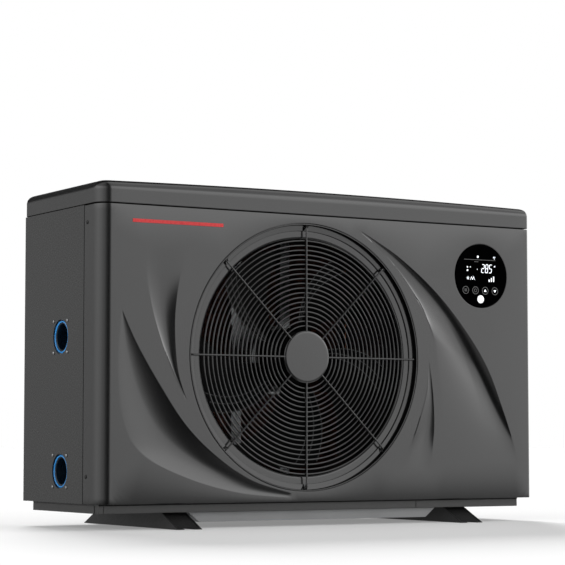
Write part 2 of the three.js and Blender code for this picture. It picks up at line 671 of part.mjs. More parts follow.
function exchanger() {
  const { x, y, r, wall, z0, z1 } = EXCHANGER;
  const outer = turned('z', [
    [0, z0], [r - 8, z0], [r, z0 + 8], [r, z1 - 14], [r - 12, z1], [0, z1],
  ], [x, y, 0], 16);
  const nozzle = rod('z', 8, z1 - 8, 448.3, [x, 25, 0], 12);
  const bosses = Object.values(PORT_HEIGHTS).map((z) => rod('x', COLLAR_R + 3, -440, -400, [0, 0, z], 16));
  const inner = turned('z', [
    [0, z0 + wall], [r - 11, z0 + wall], [r - wall, z0 + 12], [r - wall, z1 - 16],
    [r - 14, z1 - wall], [0, z1 - wall],
  ], [x, y, 0], 16);
  const bores = Object.values(PORT_HEIGHTS).map((z) => rod('x', BORE_R, -450, x, [0, 0, z], 16));
  add('exchanger_shell', cut(join(outer, nozzle, ...bosses), inner, ...bores), finish(0x2a2c2e, 0.5, 0));

  const [turns, perTurn] = [4, 12];
  const helix = Array.from({ length: turns * perTurn + 1 }, (_, i) => {
    const angle = (i * 2 * Math.PI) / perTurn;
    return [x + 38 * Math.cos(angle), y + 38 * Math.sin(angle), 60 + (320 * i) / (turns * perTurn)];
  });
  add('titanium_coil', pipe(helix, 6, turns * perTurn, 5), finish(0x8f8a80, 0.35, 0.9));
}

function waterPorts() {
  Object.entries(PORT_HEIGHTS).forEach(([where, z]) => {
    const centre = [0, 0, z];
    const tube = ring('x', BORE_R, COLLAR_R - 1, -465.7, -440.3, centre, 16);
    const neckHole = rod('z', 6.6, z, z + 40, [-453, 0, 0], 12);
    const wall = where === 'lower' ? cut(tube, neckHole) : tube;
    add(`water_pipe_${where}`, wall, blackPlastic());
    const collar = turned('x', [
      [BORE_R, -477], [BORE_R + 1, -478.4], [COLLAR_R - 1, -478.4], [COLLAR_R, -477.4],
      [COLLAR_R, -466], [BORE_R, -466], [BORE_R, -477],
    ], centre, 20);
    add(`port_collar_${where}`, collar, bluePlastic());

    const half = PORT_SCREW_REACH + 7;
    const flange = cut(
      block(-478.2, -474.5, -half, half, z - half, z + half),
      rod('x', COLLAR_R + 1, -490, -470, centre, 20),
    );
    const screws = screwPlaces(z).map(([y, at]) => {
      const head = -HALF_WIDTH - GAP;
      return turned('x', [
        [0, -476], [2, -476], [2, head], [3.6, head],
        [2.8, head - SCREW_PROUD + GAP], [0, head - SCREW_PROUD + GAP],
      ], [0, y, at], 6);
    });
    add(`port_flange_${where}`, join(flange, ...screws), steel());
  });
}

function flowSwitch() {
  const z = PORT_HEIGHTS.lower;
  const body = block(-464, -442, -13, 13, z + COLLAR_R - 1 + GAP, z + 62);
  const neck = rod('z', 6, z + 24, z + COLLAR_R + 2, [-453, 0, 0], 12);
  add('flow_switch', join(body, neck), blackPlastic());
  const axle = rod('y', 1.6, -7, 7, [-453, 0, z + 20], 10);
  const vane = block(-453.7, -452.3, -7, 7, z - 12, z + 20);
  add('flow_paddle', join(axle, vane), steel());
}

// ---------- controls ----------
function controls() {
  const centre = [DISPLAY_X, 0, DISPLAY_Z];
  const behind = FRONT + PANEL + GAP;
  const housing = turned('y', [
    [0, -136], [58, -136], [61, -138], [61, behind + 2], [71, behind + 2], [71, behind],
    [58.5, behind], [58.5, -138.5], [0, -138.5],
  ], centre, 24);
  add('display_housing', housing, blackPlastic());
  const glass = turned('y', [
    [0, FRONT - 0.4], [DISPLAY_R - 1, FRONT - 0.4], [DISPLAY_R, FRONT + 0.6], [DISPLAY_R, FRONT + 2.1],
    [56, FRONT + 2.1], [56, FRONT + 3.6], [0, FRONT + 3.6],
  ], centre, 32);
  const keyHole = rod('y', KEY_R + 0.4, FRONT - 5, FRONT + 8, [KEY_X, 0, KEY_Z], 16);
  add('display_glass', cut(glass, keyHole), finish(0x050506, 0.08, 0));
  const key = turned('y', [
    [0, FRONT - 1], [KEY_R - 1, FRONT - 1], [KEY_R, FRONT - 0.2], [KEY_R, FRONT + 3.4],
    [3.5, FRONT + 3.4], [3.5, -145], [0, -145],
  ], [KEY_X, 0, KEY_Z], 16);
  add('power_key', key, finish(0xf2f2f2, 0.4, 0));

  const [x0, x1, y0, y1, z0, z1] = [226, 470, -118, -6, 452, 574];
  const inside = block(x0 + 2, x1 - 2, y0 - 5, y1 - 2, z0 + 2, z1 - 2);
  add('control_box', cut(block(x0, x1, y0, y1, z0, z1), inside), galvanised());
  const board = block(x0 + 12, x1 - 12, -20, -18, z0 + 12, z1 - 12);
  const chips = [250, 300, 350, 400].map((x, i) => block(x, x + 34, -48 + 6 * i, -19, 476, 506 + 6 * i));
  add('control_board', join(board, ...chips), finish(0x1d5a3a, 0.5, 0));
}

topCover();
frontPanel();
wrapFixing();
sidePanels();
rearPanel();
rearGuard();
baseTray();
crossRails();
feet();
fanGuard();
fanShroud();
fan();
evaporator();
partitions();
compressor();
refrigerantValves();
refrigerantPipes();
exchanger();
waterPorts();
flowSwitch();
controls();

export default unit;
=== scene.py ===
"""Pool and spa heat pump: the detailed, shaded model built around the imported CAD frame.

Metres, +Z up. The front faces -Y and the water side faces -X.
"""

import math
from contextlib import contextmanager

import bmesh
import bpy
from mathutils import Matrix, Vector
from mathutils.geometry import delaunay_2d_cdt


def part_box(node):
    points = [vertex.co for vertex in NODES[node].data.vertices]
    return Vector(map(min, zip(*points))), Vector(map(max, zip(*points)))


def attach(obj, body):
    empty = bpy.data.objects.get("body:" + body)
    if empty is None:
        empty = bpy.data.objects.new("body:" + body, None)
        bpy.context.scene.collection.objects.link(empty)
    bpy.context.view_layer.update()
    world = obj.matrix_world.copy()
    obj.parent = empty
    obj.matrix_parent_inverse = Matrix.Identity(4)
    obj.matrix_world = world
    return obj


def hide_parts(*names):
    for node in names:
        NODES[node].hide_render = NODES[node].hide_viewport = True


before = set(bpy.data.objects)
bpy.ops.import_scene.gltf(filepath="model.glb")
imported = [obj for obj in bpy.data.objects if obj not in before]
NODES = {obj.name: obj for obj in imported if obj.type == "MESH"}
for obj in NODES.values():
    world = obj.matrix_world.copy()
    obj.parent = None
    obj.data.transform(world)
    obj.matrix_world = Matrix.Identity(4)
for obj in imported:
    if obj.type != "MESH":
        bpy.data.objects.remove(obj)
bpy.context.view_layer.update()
MM = 0.001


# ---------- driving dimensions, from the frame ----------
def extent(node):
    """Lowest and highest corners of a CAD node, in metres."""
    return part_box(node)


def middle(node):
    low, high = extent(node)
    return (low + high) / 2


PANEL_LOW, PANEL_HIGH = extent("front_panel")
COVER_LOW, COVER_HIGH = extent("top_cover")
HALF_WIDTH = PANEL_HIGH.x
FRONT = PANEL_LOW.y
CORNER_LEFT = 25 * MM
CORNER_RIGHT = 6 * MM
SHEET = 2.2 * MM
FAN_X, FAN_Z = middle("fan_shaft").x, middle("fan_shaft").z
FAN_AXIS = (FAN_X, 0, FAN_Z)
OPENING_R = 251 * MM
FLANGE_R = 238 * MM
THROAT_R = 221 * MM
RECESS = 9 * MM  # the flat ring round the fan sits this far back
GAP_OUTER, GAP_INNER = OPENING_R + 1.6 * MM, OPENING_R  # the shadow gap round the fan opening
SEAM_GAP = 1.1 * MM  # extra opening of the joint below the cover
DISPLAY = middle("display_glass")
DISPLAY_R = (extent("display_glass")[1].x - extent("display_glass")[0].x) / 2
KEY = middle("power_key")


# ---------- mesh helpers ----------
def build(name, verts, faces, materials, smooth=True, indices=None):
    """A mesh object from vertices and faces; indices picks a material for each face."""
    mesh = bpy.data.meshes.new(name)
    mesh.from_pydata([tuple(v) for v in verts], [], faces)
    mesh.validate()
    for material in materials if isinstance(materials, list) else [materials]:
        mesh.materials.append(material)
    mesh.polygons.foreach_set("use_smooth", [smooth] * len(mesh.polygons))
    if indices:
        mesh.polygons.foreach_set("material_index", indices)
    piece = bpy.data.objects.new(name, mesh)
    bpy.context.scene.collection.objects.link(piece)
    return piece


@contextmanager
def editing(mesh):
    """Opens a mesh for editing and writes it back."""
    work = bmesh.new()
    work.from_mesh(mesh)
    yield work
    work.to_mesh(mesh)
    work.free()


def mark_creases(piece, degrees=35):
    """Keeps edges sharper than the given angle crisp and shades the rest smooth."""
    limit = math.radians(degrees)
    with editing(piece.data) as work:
        bmesh.ops.remove_doubles(work, verts=work.verts, dist=0.01 * MM)
        bmesh.ops.recalc_face_normals(work, faces=work.faces)
        for edge in work.edges:
            edge.smooth = len(edge.link_faces) == 2 and edge.calc_face_angle(0) < limit
        for face in work.faces:
            face.smooth = True
    return piece


def soften(piece, width, segments=2, degrees=30):
    """A small rounding along every crisp edge."""
    bevel = piece.modifiers.new("edge_rounding", "BEVEL")
    bevel.width = width
    bevel.segments = segments
    bevel.limit_method = "ANGLE"
    bevel.angle_limit = math.radians(degrees)
    bevel.harden_normals = True
    return piece


def settle(piece, slot, *nodes, body="root"):
    """Rides the piece on its body and hides the CAD nodes it stands for. The slot is not used."""
    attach(piece, body)
    if nodes:
        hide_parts(*nodes)
    return piece


def refined(node, name, material, width, degrees=30):
    """The CAD node's own shape with its flat faces whole again and its edges rounded."""
    mesh = NODES[node].data.copy()
    mesh.name = name
    mesh.materials.clear()
    mesh.materials.append(material)
    with editing(mesh) as work:
        bmesh.ops.remove_doubles(work, verts=work.verts, dist=0.01 * MM)
        bmesh.ops.dissolve_limit(work, angle_limit=math.radians(1), verts=work.verts, edges=work.edges)
        for face in work.faces:
            face.material_index = 0
    piece = bpy.data.objects.new(name, mesh)
    bpy.context.scene.collection.objects.link(piece)
    return soften(mark_creases(piece, degrees), width, degrees=degrees)


def as_drawn(node, name, material, width, slot):
    """Settles a CAD node's own shape with its edges rounded."""
    return settle(refined(node, name, material, width), slot, node)


def woven(rows, count, base=0, closed=True, looped=False):
    """Faces between neighbouring rows of count points.

    A closed row's last point joins its first, and looped rows join the last row to the first.
    """
    faces = []
    for i in range(rows if looped else rows - 1):
        a, b = base + i * count, base + (i + 1) % rows * count
        for j in range(count if closed else count - 1):
            k = (j + 1) % count
            faces.append((a + j, a + k, b + k, b + j))
    return faces


def outward(degrees):
    """The direction in the XZ plane at an angle from +X."""
    turn = math.radians(degrees)
    return Vector((math.cos(turn), 0, math.sin(turn)))


def lathe(name, axis, centre, profile, material, sides=96, closed=False, degrees=30):
    """A body of revolution about X or Y; the profile is (radius, place along the axis) in metres."""
    degrees_round, about = (90, "Y") if axis == "x" else (-90, "X")
    turn = Matrix.Rotation(math.radians(degrees_round), 4, about)
    verts = []
    for side in range(sides):
        angle = 2 * math.pi * side / sides
        for radius, along in profile:
            place = Vector((radius * math.cos(angle), radius * math.sin(angle), along))
            verts.append(Vector(centre) + turn @ place)
    piece = build(name, verts, woven(sides, len(profile), closed=closed, looped=True), material)
    return mark_creases(piece, degrees)


def bend(x, y, reach, start, end, steps=4):
    """Points on a round corner about (x, y), from one angle to another in degrees."""
    turns = (math.radians(start + (end - start) * k / steps) for k in range(steps + 1))
    return [(x + reach * math.cos(a), y + reach * math.sin(a)) for a in turns]


def in_metres(profile):
    return [(radius * MM, along * MM) for radius, along in profile]


def rounded(profile, radius, steps=4, closed=False):
    """Rounds the corners of a profile of (r, along) points."""
    points = [Vector(p) for p in profile]
    result = []
    for i, corner in enumerate(points):
        if not closed and i in (0, len(points) - 1):
            result.append(tuple(corner))
            continue
        before, after = points[i - 1], points[(i + 1) % len(points)]
        to_before, to_after = before - corner, after - corner
        reach = min(radius, to_before.length * 0.45, to_after.length * 0.45)
        start = corner + to_before.normalized() * reach
        end = corner + to_after.normalized() * reach
        for step in range(steps + 1):
            share = step / steps
            point = start * (1 - share) ** 2 + corner * 2 * share * (1 - share) + end * share**2
            result.append(tuple(point))
    return result


def torus(name, centre, radius, wire, material, around=160, section=8):
    """A ring of round wire that lies in the XZ plane."""
    verts = []
    for i in range(around):
        turn = 2 * math.pi * i / around
        for j in range(section):
            angle = 2 * math.pi * j / section
            reach = radius + wire * math.cos(angle)
            place = (reach * math.cos(turn), wire * math.sin(angle), reach * math.sin(turn))
            verts.append(Vector(centre) + Vector(place))
    return build(name, verts, woven(around, section, looped=True), material)


def tube(name, path, radius, material, section=10, caps=True):
    """Round wire along a list of points."""
    points = [Vector(p) for p in path]
    verts, side = [], None
    for i, point in enumerate(points):
        ahead = points[min(i + 1, len(points) - 1)] - points[max(i - 1, 0)]
        ahead.normalize()
        if side is None:
            side = ahead.orthogonal().normalized()
        side = (side - ahead * side.dot(ahead)).normalized()
        up = ahead.cross(side)
        for j in range(section):
            angle = 2 * math.pi * j / section
            verts.append(point + (side * math.cos(angle) + up * math.sin(angle)) * radius)
    faces = woven(len(points), section)
    if caps:
        faces.append(tuple(reversed(range(section))))
        last = (len(points) - 1) * section
        faces.append(tuple(range(last, last + section)))
    return mark_creases(build(name, verts, faces, material), 60)


def merge(name, pieces):
    """Joins pieces, keeping their materials, into one named piece."""
    verts, faces, indices, materials = [], [], [], []
    sharp = set()
    for piece in pieces:
        base = len(verts)
        mesh = piece.data
        slots = []
        for material in mesh.materials:
            if material not in materials:
                materials.append(material)
            slots.append(materials.index(material))
        verts.extend(piece.matrix_world @ v.co for v in mesh.vertices)
        for face in mesh.polygons:
            faces.append([base + v for v in face.vertices])
            indices.append(slots[face.material_index])
        for edge in mesh.edges:
            if edge.use_edge_sharp:
                sharp.add(frozenset(base + v for v in edge.vertices))
        bpy.data.objects.remove(piece)
    joined = build(name, verts, faces, materials, True, indices)
    for edge in joined.data.edges:
        edge.use_edge_sharp = frozenset(edge.vertices) in sharp
    return joined


def box_piece(name, low, high, material):
    """A block between two corners."""
    x, y, z = zip(low, high)
    verts = [(x[i], y[j], z[k]) for i in (0, 1) for j in (0, 1) for k in (0, 1)]
    faces = [(0, 1, 3, 2), (4, 6, 7, 5), (0, 4, 5, 1), (2, 3, 7, 6), (0, 2, 6, 4), (1, 5, 7, 3)]
    return mark_creases(build(name, verts, faces, material))


# ---------- materials ----------
def fill_ramp(ramp, stops):
    """Sets the stops of a colour ramp, each (position, colour)."""
    elements = ramp.color_ramp.elements
    while len(elements) < len(stops):
        elements.new(0.5)
    for element, (at, shade) in zip(elements, stops):
        element.position = at
        element.color = (*shade, 1.0)


class Recipe:
    """A procedural material: a Principled shader fed by noise for colour, roughness and relief."""

    def __init__(self, name, **sockets):
        self.material = bpy.data.materials.new(name)
        self.material.use_nodes = True
        tree = self.material.node_tree
        self.nodes, self.links = tree.nodes, tree.links
        self.shader = self.nodes["Principled BSDF"]
        self.place = self.nodes.new("ShaderNodeTexCoord").outputs["Object"]
        for socket, value in sockets.items():
            self.shader.inputs[socket.replace("_", " ")].default_value = value

    def stretched(self, scale):
        mapping = self.nodes.new("ShaderNodeMapping")
        mapping.inputs["Scale"].default_value = scale
        self.links.new(self.place, mapping.inputs["Vector"])
        return mapping.outputs["Vector"]

    def noise(self, scale, detail=3.0, stretch=None, roughness=0.55):
        node = self.nodes.new("ShaderNodeTexNoise")
        node.inputs["Scale"].default_value = scale
        node.inputs["Detail"].default_value = detail
        node.inputs["Roughness"].default_value = roughness
        source = self.stretched(stretch) if stretch else self.place
        self.links.new(source, node.inputs["Vector"])
        return node.outputs["Fac"]

    def cells(self, scale, output="Distance"):
        node = self.nodes.new("ShaderNodeTexVoronoi")
        node.inputs["Scale"].default_value = scale
        self.links.new(self.place, node.inputs["Vector"])
        return node.outputs[output]

    def colour(self, fac, stops):
        ramp = self.nodes.new("ShaderNodeValToRGB")
        fill_ramp(ramp, stops)
        self.links.new(fac, ramp.inputs["Fac"])
        self.links.new(ramp.outputs["Color"], self.shader.inputs["Base Color"])

    def rough(self, fac, low, high):
        span = self.nodes.new("ShaderNodeMapRange")
        span.inputs["From Min"].default_value = 0.3
        span.inputs["From Max"].default_value = 0.7
        span.inputs["To Min"].default_value = low
        span.inputs["To Max"].default_value = high
        self.links.new(fac, span.inputs["Value"])
        self.links.new(span.outputs["Result"], self.shader.inputs["Roughness"])

    def relief(self, *layers):
        """Stacked bumps, each (height output, strength, depth in metres)."""
        normal = None
        for height, strength, depth in layers:
            bump = self.nodes.new("ShaderNodeBump")
            bump.inputs["Strength"].default_value = strength
            bump.inputs["Distance"].default_value = depth
            self.links.new(height, bump.inputs["Height"])
            if normal:
                self.links.new(normal, bump.inputs["Normal"])
            normal = bump.outputs["Normal"]
        self.links.new(normal, self.shader.inputs["Normal"])


def shades(base, spread):
    """Two shades either side of a base colour."""
    return [(0.35, tuple(c * (1 - spread) for c in base)), (0.65, tuple(c * (1 + spread) for c in base))]


def coated(name, base, spread=0.06, rough=(0.3, 0.36), grain=620, peel=0.12, **sockets):
    """Paint or moulded plastic with a satin sheen, a fine orange peel and faint cloudiness."""
    made = Recipe(name, **sockets)
    made.colour(made.noise(7, 4), shades(base, spread))
    made.rough(made.noise(grain * 0.4, 2), *rough)
    made.relief((made.noise(grain, 2), peel, 0.05 * MM))
    return made.material


def grained(name, base, rough=(0.5, 0.62), cell=900, strength=0.25, **sockets):
    """Spark-eroded moulded plastic or rubber: small pits all over."""
    made = Recipe(name, **sockets)
    made.colour(made.noise(24, 3), shades(base, 0.12))
    made.rough(made.noise(300, 2), *rough)
    made.relief((made.cells(cell), strength, 0.06 * MM), (made.noise(60, 3), 0.05, 0.2 * MM))
    return made.material


def galvanised(name, base, rough=(0.38, 0.5), spangle=140, **sockets):
    """Zinc-coated sheet with its crystal spangle."""
    made = Recipe(name, Metallic=1.0, **sockets)
    made.colour(made.cells(spangle, output="Color"), shades(base, 0.14))
    made.rough(made.cells(spangle, output="Color"), *rough)
    made.relief((made.noise(900, 2), 0.05, 0.03 * MM))
    return made.material


def drawn_metal(name, base, rough=(0.22, 0.34), **sockets):
    """Metal with fine draw marks along X and a little tarnish."""
    stretch = (0.05, 1, 1)
    made = Recipe(name, Metallic=1.0, **sockets)
    made.colour(made.noise(35, 4), shades(base, 0.18))
    made.rough(made.noise(700, 3, stretch), *rough)
    made.relief((made.noise(1100, 3, stretch), 0.08, 0.03 * MM))
    return made.material


def glossy_black():
    made = Recipe("display_glass_black", Specular_IOR_Level=0.0)
    made.colour(made.noise(40, 2), shades((0.0008, 0.0008, 0.0009), 0.2))
    made.rough(made.noise(18, 4), 0.05, 0.12)
    made.relief((made.noise(20, 2), 0.01, 0.05 * MM))
    return made.material


def glowing(name, base, strength):
    """Lit symbols, a little uneven as backlit print is."""
    made = Recipe(name, Roughness=0.4, Emission_Strength=strength)
    made.colour(made.noise(300, 2), shades(base, 0.08))
    made.relief((made.noise(800, 2), 0.05, 0.02 * MM))
    made.shader.inputs["Emission Color"].default_value = (*base, 1.0)
    return made.material


def fins():
    """Coated aluminium fin stock: long vertical streaks and a warm hydrophilic tint."""
    made = Recipe("coated_fin_stock", Metallic=0.85)
    made.colour(made.noise(60, 3, (1, 1, 0.08)), shades((0.32, 0.15, 0.115), 0.2))
    made.rough(made.noise(220, 2, (1, 1, 0.1)), 0.32, 0.5)
    made.relief((made.noise(500, 2, (1, 1, 0.15)), 0.15, 0.05 * MM))
    return made.material


def circuit_board():
    made = Recipe("board_green_laminate")
    made.colour(made.cells(260), [(0.15, (0.012, 0.07, 0.035)), (0.5, (0.02, 0.12, 0.06))])
    made.rough(made.noise(400, 2), 0.3, 0.5)
    made.relief((made.cells(420), 0.2, 0.08 * MM))
    return made.material


BODY = (0.0062, 0.0064, 0.0065)
accent_red = coated("accent_red_enamel", (0.62, 0.018, 0.022), rough=(0.25, 0.32), peel=0.05)
anthracite = coated("anthracite_paint", BODY, rough=(0.15, 0.18), peel=0.03, Specular_IOR_Level=1.0)
side_paint = coated("side_sheet_paint", BODY, rough=(0.26, 0.29), peel=0.006, Specular_IOR_Level=1.0)
plinth_paint = coated("plinth_paint", (0.028, 0.028, 0.0276), rough=(0.42, 0.5), Specular_IOR_Level=0.8)
foot_paint = coated("foot_paint", (0.022, 0.0222, 0.0225), rough=(0.4, 0.5))
rail_zinc = coated("rail_grey_paint", (0.28, 0.284, 0.288), rough=(0.4, 0.5))
zinc = galvanised("galvanised_sheet", (0.42, 0.43, 0.44))
black_plastic = grained("black_moulded_plastic", (0.006, 0.006, 0.0065))
fan_plastic = grained(
    "fan_blade_plastic", (0.0012, 0.0012, 0.0013), rough=(0.5, 0.6), strength=0.12, Specular_IOR_Level=0.08
)
# the blade ribs are a much lighter grey than the blade plastic: a painted highlight along the leading edges
highlight_rib_plastic = grained("fan_rib_painted_highlight", (0.05, 0.051, 0.053), rough=(0.35, 0.45), strength=0.1)
# black rubber; the strip above the plinth and the foot end pads use it as painted shade
rubber = grained("rubber", (0.0035, 0.0035, 0.0036), rough=(0.7, 0.85), cell=500, strength=0.35)
blue_plastic = coated(
    "blue_collar_plastic", (0.025, 0.30, 0.76), rough=(0.16, 0.24), peel=0.05, Coat_Weight=0.6
)
# a much darker copy of the collar's blue: painted shade inside the port bores and pipe stubs
shaded_blue_plastic = coated("blue_bore_painted_shade", (0.001, 0.008, 0.018), rough=(0.3, 0.4))
steel = drawn_metal("stainless_steel", (0.62, 0.63, 0.64))
screw_zinc = drawn_metal("bright_zinc_screw", (0.42, 0.43, 0.44), rough=(0.3, 0.42))
dark_screw = coated("black_screw_paint", (0.01, 0.01, 0.0102), rough=(0.35, 0.45))
copper = drawn_metal("copper_tube", (0.62, 0.27, 0.15))
brass = drawn_metal("brass_valve", (0.60, 0.42, 0.18))
titanium = drawn_metal("titanium_tube", (0.42, 0.40, 0.37), rough=(0.3, 0.4))
fin_stock = fins()
shell_grey = coated("exchanger_shell_plastic", (0.03, 0.031, 0.033), rough=(0.4, 0.5))
glass = glossy_black()
board = circuit_board()
symbol_white = glowing("symbol_white", (0.92, 0.95, 1.0), 0.72)
symbol_dim = glowing("symbol_dim", (0.10, 0.10, 0.10), 0.6)
key_white_glow = glowing("key_white_lit", (0.95, 0.96, 0.97), 0.42)


# ---------- front panel ----------
def spline(points, share):
    """A point on the smooth curve through the given points, share running from 0 to 1."""
    spans = len(points) - 1
    at = min(max(share, 0.0), 1.0) * spans
    i = min(int(at), spans - 1)
    t = at - i
    p = [Vector(points[min(max(k, 0), spans)]) for k in (i - 1, i, i + 1, i + 2)]
    return 0.5 * (
        2 * p[1]
        + (p[2] - p[0]) * t
        + (2 * p[0] - 5 * p[1] + 4 * p[2] - p[3]) * t * t
        + (3 * p[1] - p[0] - 3 * p[2] + p[3]) * t**3
    )


def ease(value):
    value = min(max(value, 0.0), 1.0)
    return value * value * (3 - 2 * value)


# Each relief runs from its sharp edge to its soft edge (X, Z in millimetres). depth is the most it can
# reach and pitch how deep it is for its width while narrow; swell scales the depth along its length.
# floor is where the deepest line lies across it and steep how suddenly the wall falls from the sharp
# edge. crisp is how hard the soft edge is along the length and lip how far that edge stands proud. A
# large rise keeps the floor level until it is close to a crisp edge.
RELIEFS = [
    {
        "sharp": [(-296, 515), (-316, 457), (-326, 395), (-326, 335), (-319, 280), (-303, 234)],
        "soft": [(-384, 510), (-385, 462), (-375, 405), (-359, 352), (-335, 291), (-304, 233)],
        "depth": 9,
        "pitch": 0.12,
        "steep": 1.9,
        "rise": 1.6,
        "floor": lambda t: 0.56,
        "swell": lambda t: ease(t / 0.5) + 0.35 * ease((t - 0.6) / 0.3),
        "crisp": lambda t: ease((t - 0.02) / 0.1),
        "lip": lambda t: 0.0,
    },
    {
        "sharp": [(-434, 392), (-404, 333), (-358, 261), (-305, 189), (-243, 133), (-166, 86), (-80, 61)],
        "soft": [(-435, 390), (-442, 300), (-432, 200), (-395, 137), (-305, 93), (-195, 64), (-81, 53)],
        "depth": 16,
        "pitch": 0.115,
        "steep": 1.5,
        "rise": 1.6,
        "floor": lambda t: 0.44 + 0.16 * ease((t - 0.7) / 0.2),
        "swell": lambda t: 0.5 + 0.42 * ease(t / 0.5) - 0.22 * ease((t - 0.65) / 0.2),
        "crisp": lambda t: ease((t - 0.36) / 0.2),
        "lip": lambda t: 0.0,
    },
    {
        "sharp": [
            (77, 560), (165, 513), (251, 449), (321, 377), (374, 305), (410, 227), (436, 160), (449, 112),
        ],
        "soft": [
            (77, 556), (133, 516), (178, 469), (212, 424), (236, 381), (251, 335), (264, 240), (275, 112),
        ],
        "depth": 24,
        "pitch": 0.1,
        "steep": 3.2,
        "rise": 12,
        "floor": lambda t: 0.37 + 0.38 * (1 - ease((t - 0.05) / 0.4)),
        "swell": lambda t: (0.8 + 0.2 * ease((t - 0.4) / 0.22)) * ease((1 - t) / 0.42),
        "crisp": lambda t: 1 - ease((t - 0.2) / 0.45),
        "lip": lambda t: 0.9 * ease((t - 0.12) / 0.2) * (1 - ease((t - 0.5) / 0.25)),
    },
    {
        "sharp": [(235, 311), (244, 245), (246, 190), (241, 138), (233, 98)],
        "soft": [(232, 309), (227, 255), (204, 185), (182, 138), (166, 100)],
        "depth": 9,
        "pitch": 0.085,
        "steep": 2,
        "rise": 1.6,
        "floor": lambda t: 0.42 + 0.3 * (1 - ease(t / 0.3)),
        "swell": lambda t: ease((1 - t) / 0.5),
        "crisp": lambda t: 0.0,
        "lip": lambda t: 0.8 * (1 - ease((t - 0.5) / 0.4)),
    },
]
ROWS, COLUMNS = 96, 34
BAND = 1.2 * MM  # a narrow flat strip round each opening keeps the face beyond it evenly lit
LIP = 2.4 * MM  # width of the small raised lip that outlines part of a soft edge


def relief_depth(relief, t, s, width):
    """How deep the relief is at t along it and s across it, in metres."""
    bottom = relief["floor"](t)
    if s < bottom:
        shape = 1 - ((bottom - s) / bottom) ** relief["steep"]
    else:
        across = (s - bottom) / (1 - bottom)
        share = relief["crisp"](t)
        gentle = 0.6 * across + 0.4 * ease(across)
        shape = (1 - across ** relief["rise"]) * share + (1 - gentle) * (1 - share)
    deepest = relief["depth"] * (1 - math.exp(-relief["pitch"] * width / (relief["depth"] * MM)))
    grown = 1 - math.exp(-width / (9 * MM))
    raised = relief["lip"](t) * grown * math.exp(-max((1 - s) * width - LIP, 0) / (14 * MM))
    return (deepest * relief["swell"](t) * shape - raised) * MM


def relief_patch(relief):
    """The sculpted surface of one relief as rows of points."""
    rows = []
    for i in range(ROWS + 1):
        t = i / ROWS
        sharp = spline(relief["sharp"], t) * MM
        soft = spline(relief["soft"], t) * MM
        width = (soft - sharp).length
        inner = 1 - min(LIP / width, 0.3)
        row = []
        for j in range(COLUMNS + 1):
            s = 1.0 if j == COLUMNS else inner * (j / (COLUMNS - 1)) ** 1.25
            place = sharp.lerp(soft, s)
            depth = relief_depth(relief, t, s, width) if 0 < i < ROWS and 0 < j < COLUMNS else 0.0
            row.append((place.x, FRONT + depth, place.y))
        rows.append(row)
    return rows


def patch_outline(rows):
    """The points around a patch, in order, and where each sits in it."""
    last_row, last_column = len(rows) - 1, len(rows[0]) - 1
    around = [(i, 0) for i in range(last_row)]
    around += [(last_row, j) for j in range(last_column)]
    around += [(i, last_column) for i in range(last_row, 0, -1)]
    around += [(0, j) for j in range(last_column, 0, -1)]
    return around


def circle(x, z, radius, count):
    turns = (2 * math.pi * k / count for k in range(count))
    return [(x + radius * math.cos(a), z + radius * math.sin(a)) for a in turns]


def widened(loop, reach):
    """The loop moved outwards by a small reach."""
    turn = sum(x0 * y1 - x1 * y0 for (x0, y0), (x1, y1) in zip(loop, loop[1:] + loop[:1]))
    sign = 1 if turn > 0 else -1
    moved = []
    for k, (x, y) in enumerate(loop):
        before, after = Vector(loop[k - 1]), Vector(loop[(k + 1) % len(loop)])
        along = (after - before).normalized() * sign
        moved.append((x + along.y * reach, y - along.x * reach))
    return moved


def flat_with_holes(outline, holes):
    """Triangles that fill an outline in (X, Z) but leave its holes open."""
    points, edges = [], []
    bands = [widened(hole, BAND) for hole in holes]
    for loop in [outline, *holes, *bands]:
        base = len(points)
        points.extend(Vector(p) for p in loop)
        edges.extend((base + k, base + (k + 1) % len(loop)) for k in range(len(loop)))
    verts, _, faces, *_ = delaunay_2d_cdt(points, edges, [], 1, 1e-7)
    kept = []
    for face in faces:
        centre = sum((verts[k] for k in face), Vector((0, 0))) / len(face)
        if not any(inside(centre, hole) for hole in holes):
            kept.append(tuple(face))
    return verts, kept


def inside(point, loop):
    """Is the point inside the closed loop of (x, y) points?"""
    found = False
    for k, (x1, y1) in enumerate(loop):
        x0, y0 = loop[k - 1]
        if (y0 > point[1]) != (y1 > point[1]):
            if point[0] < (x0 - x1) * (point[1] - y1) / (y0 - y1) + x1:
                found = not found
    return found


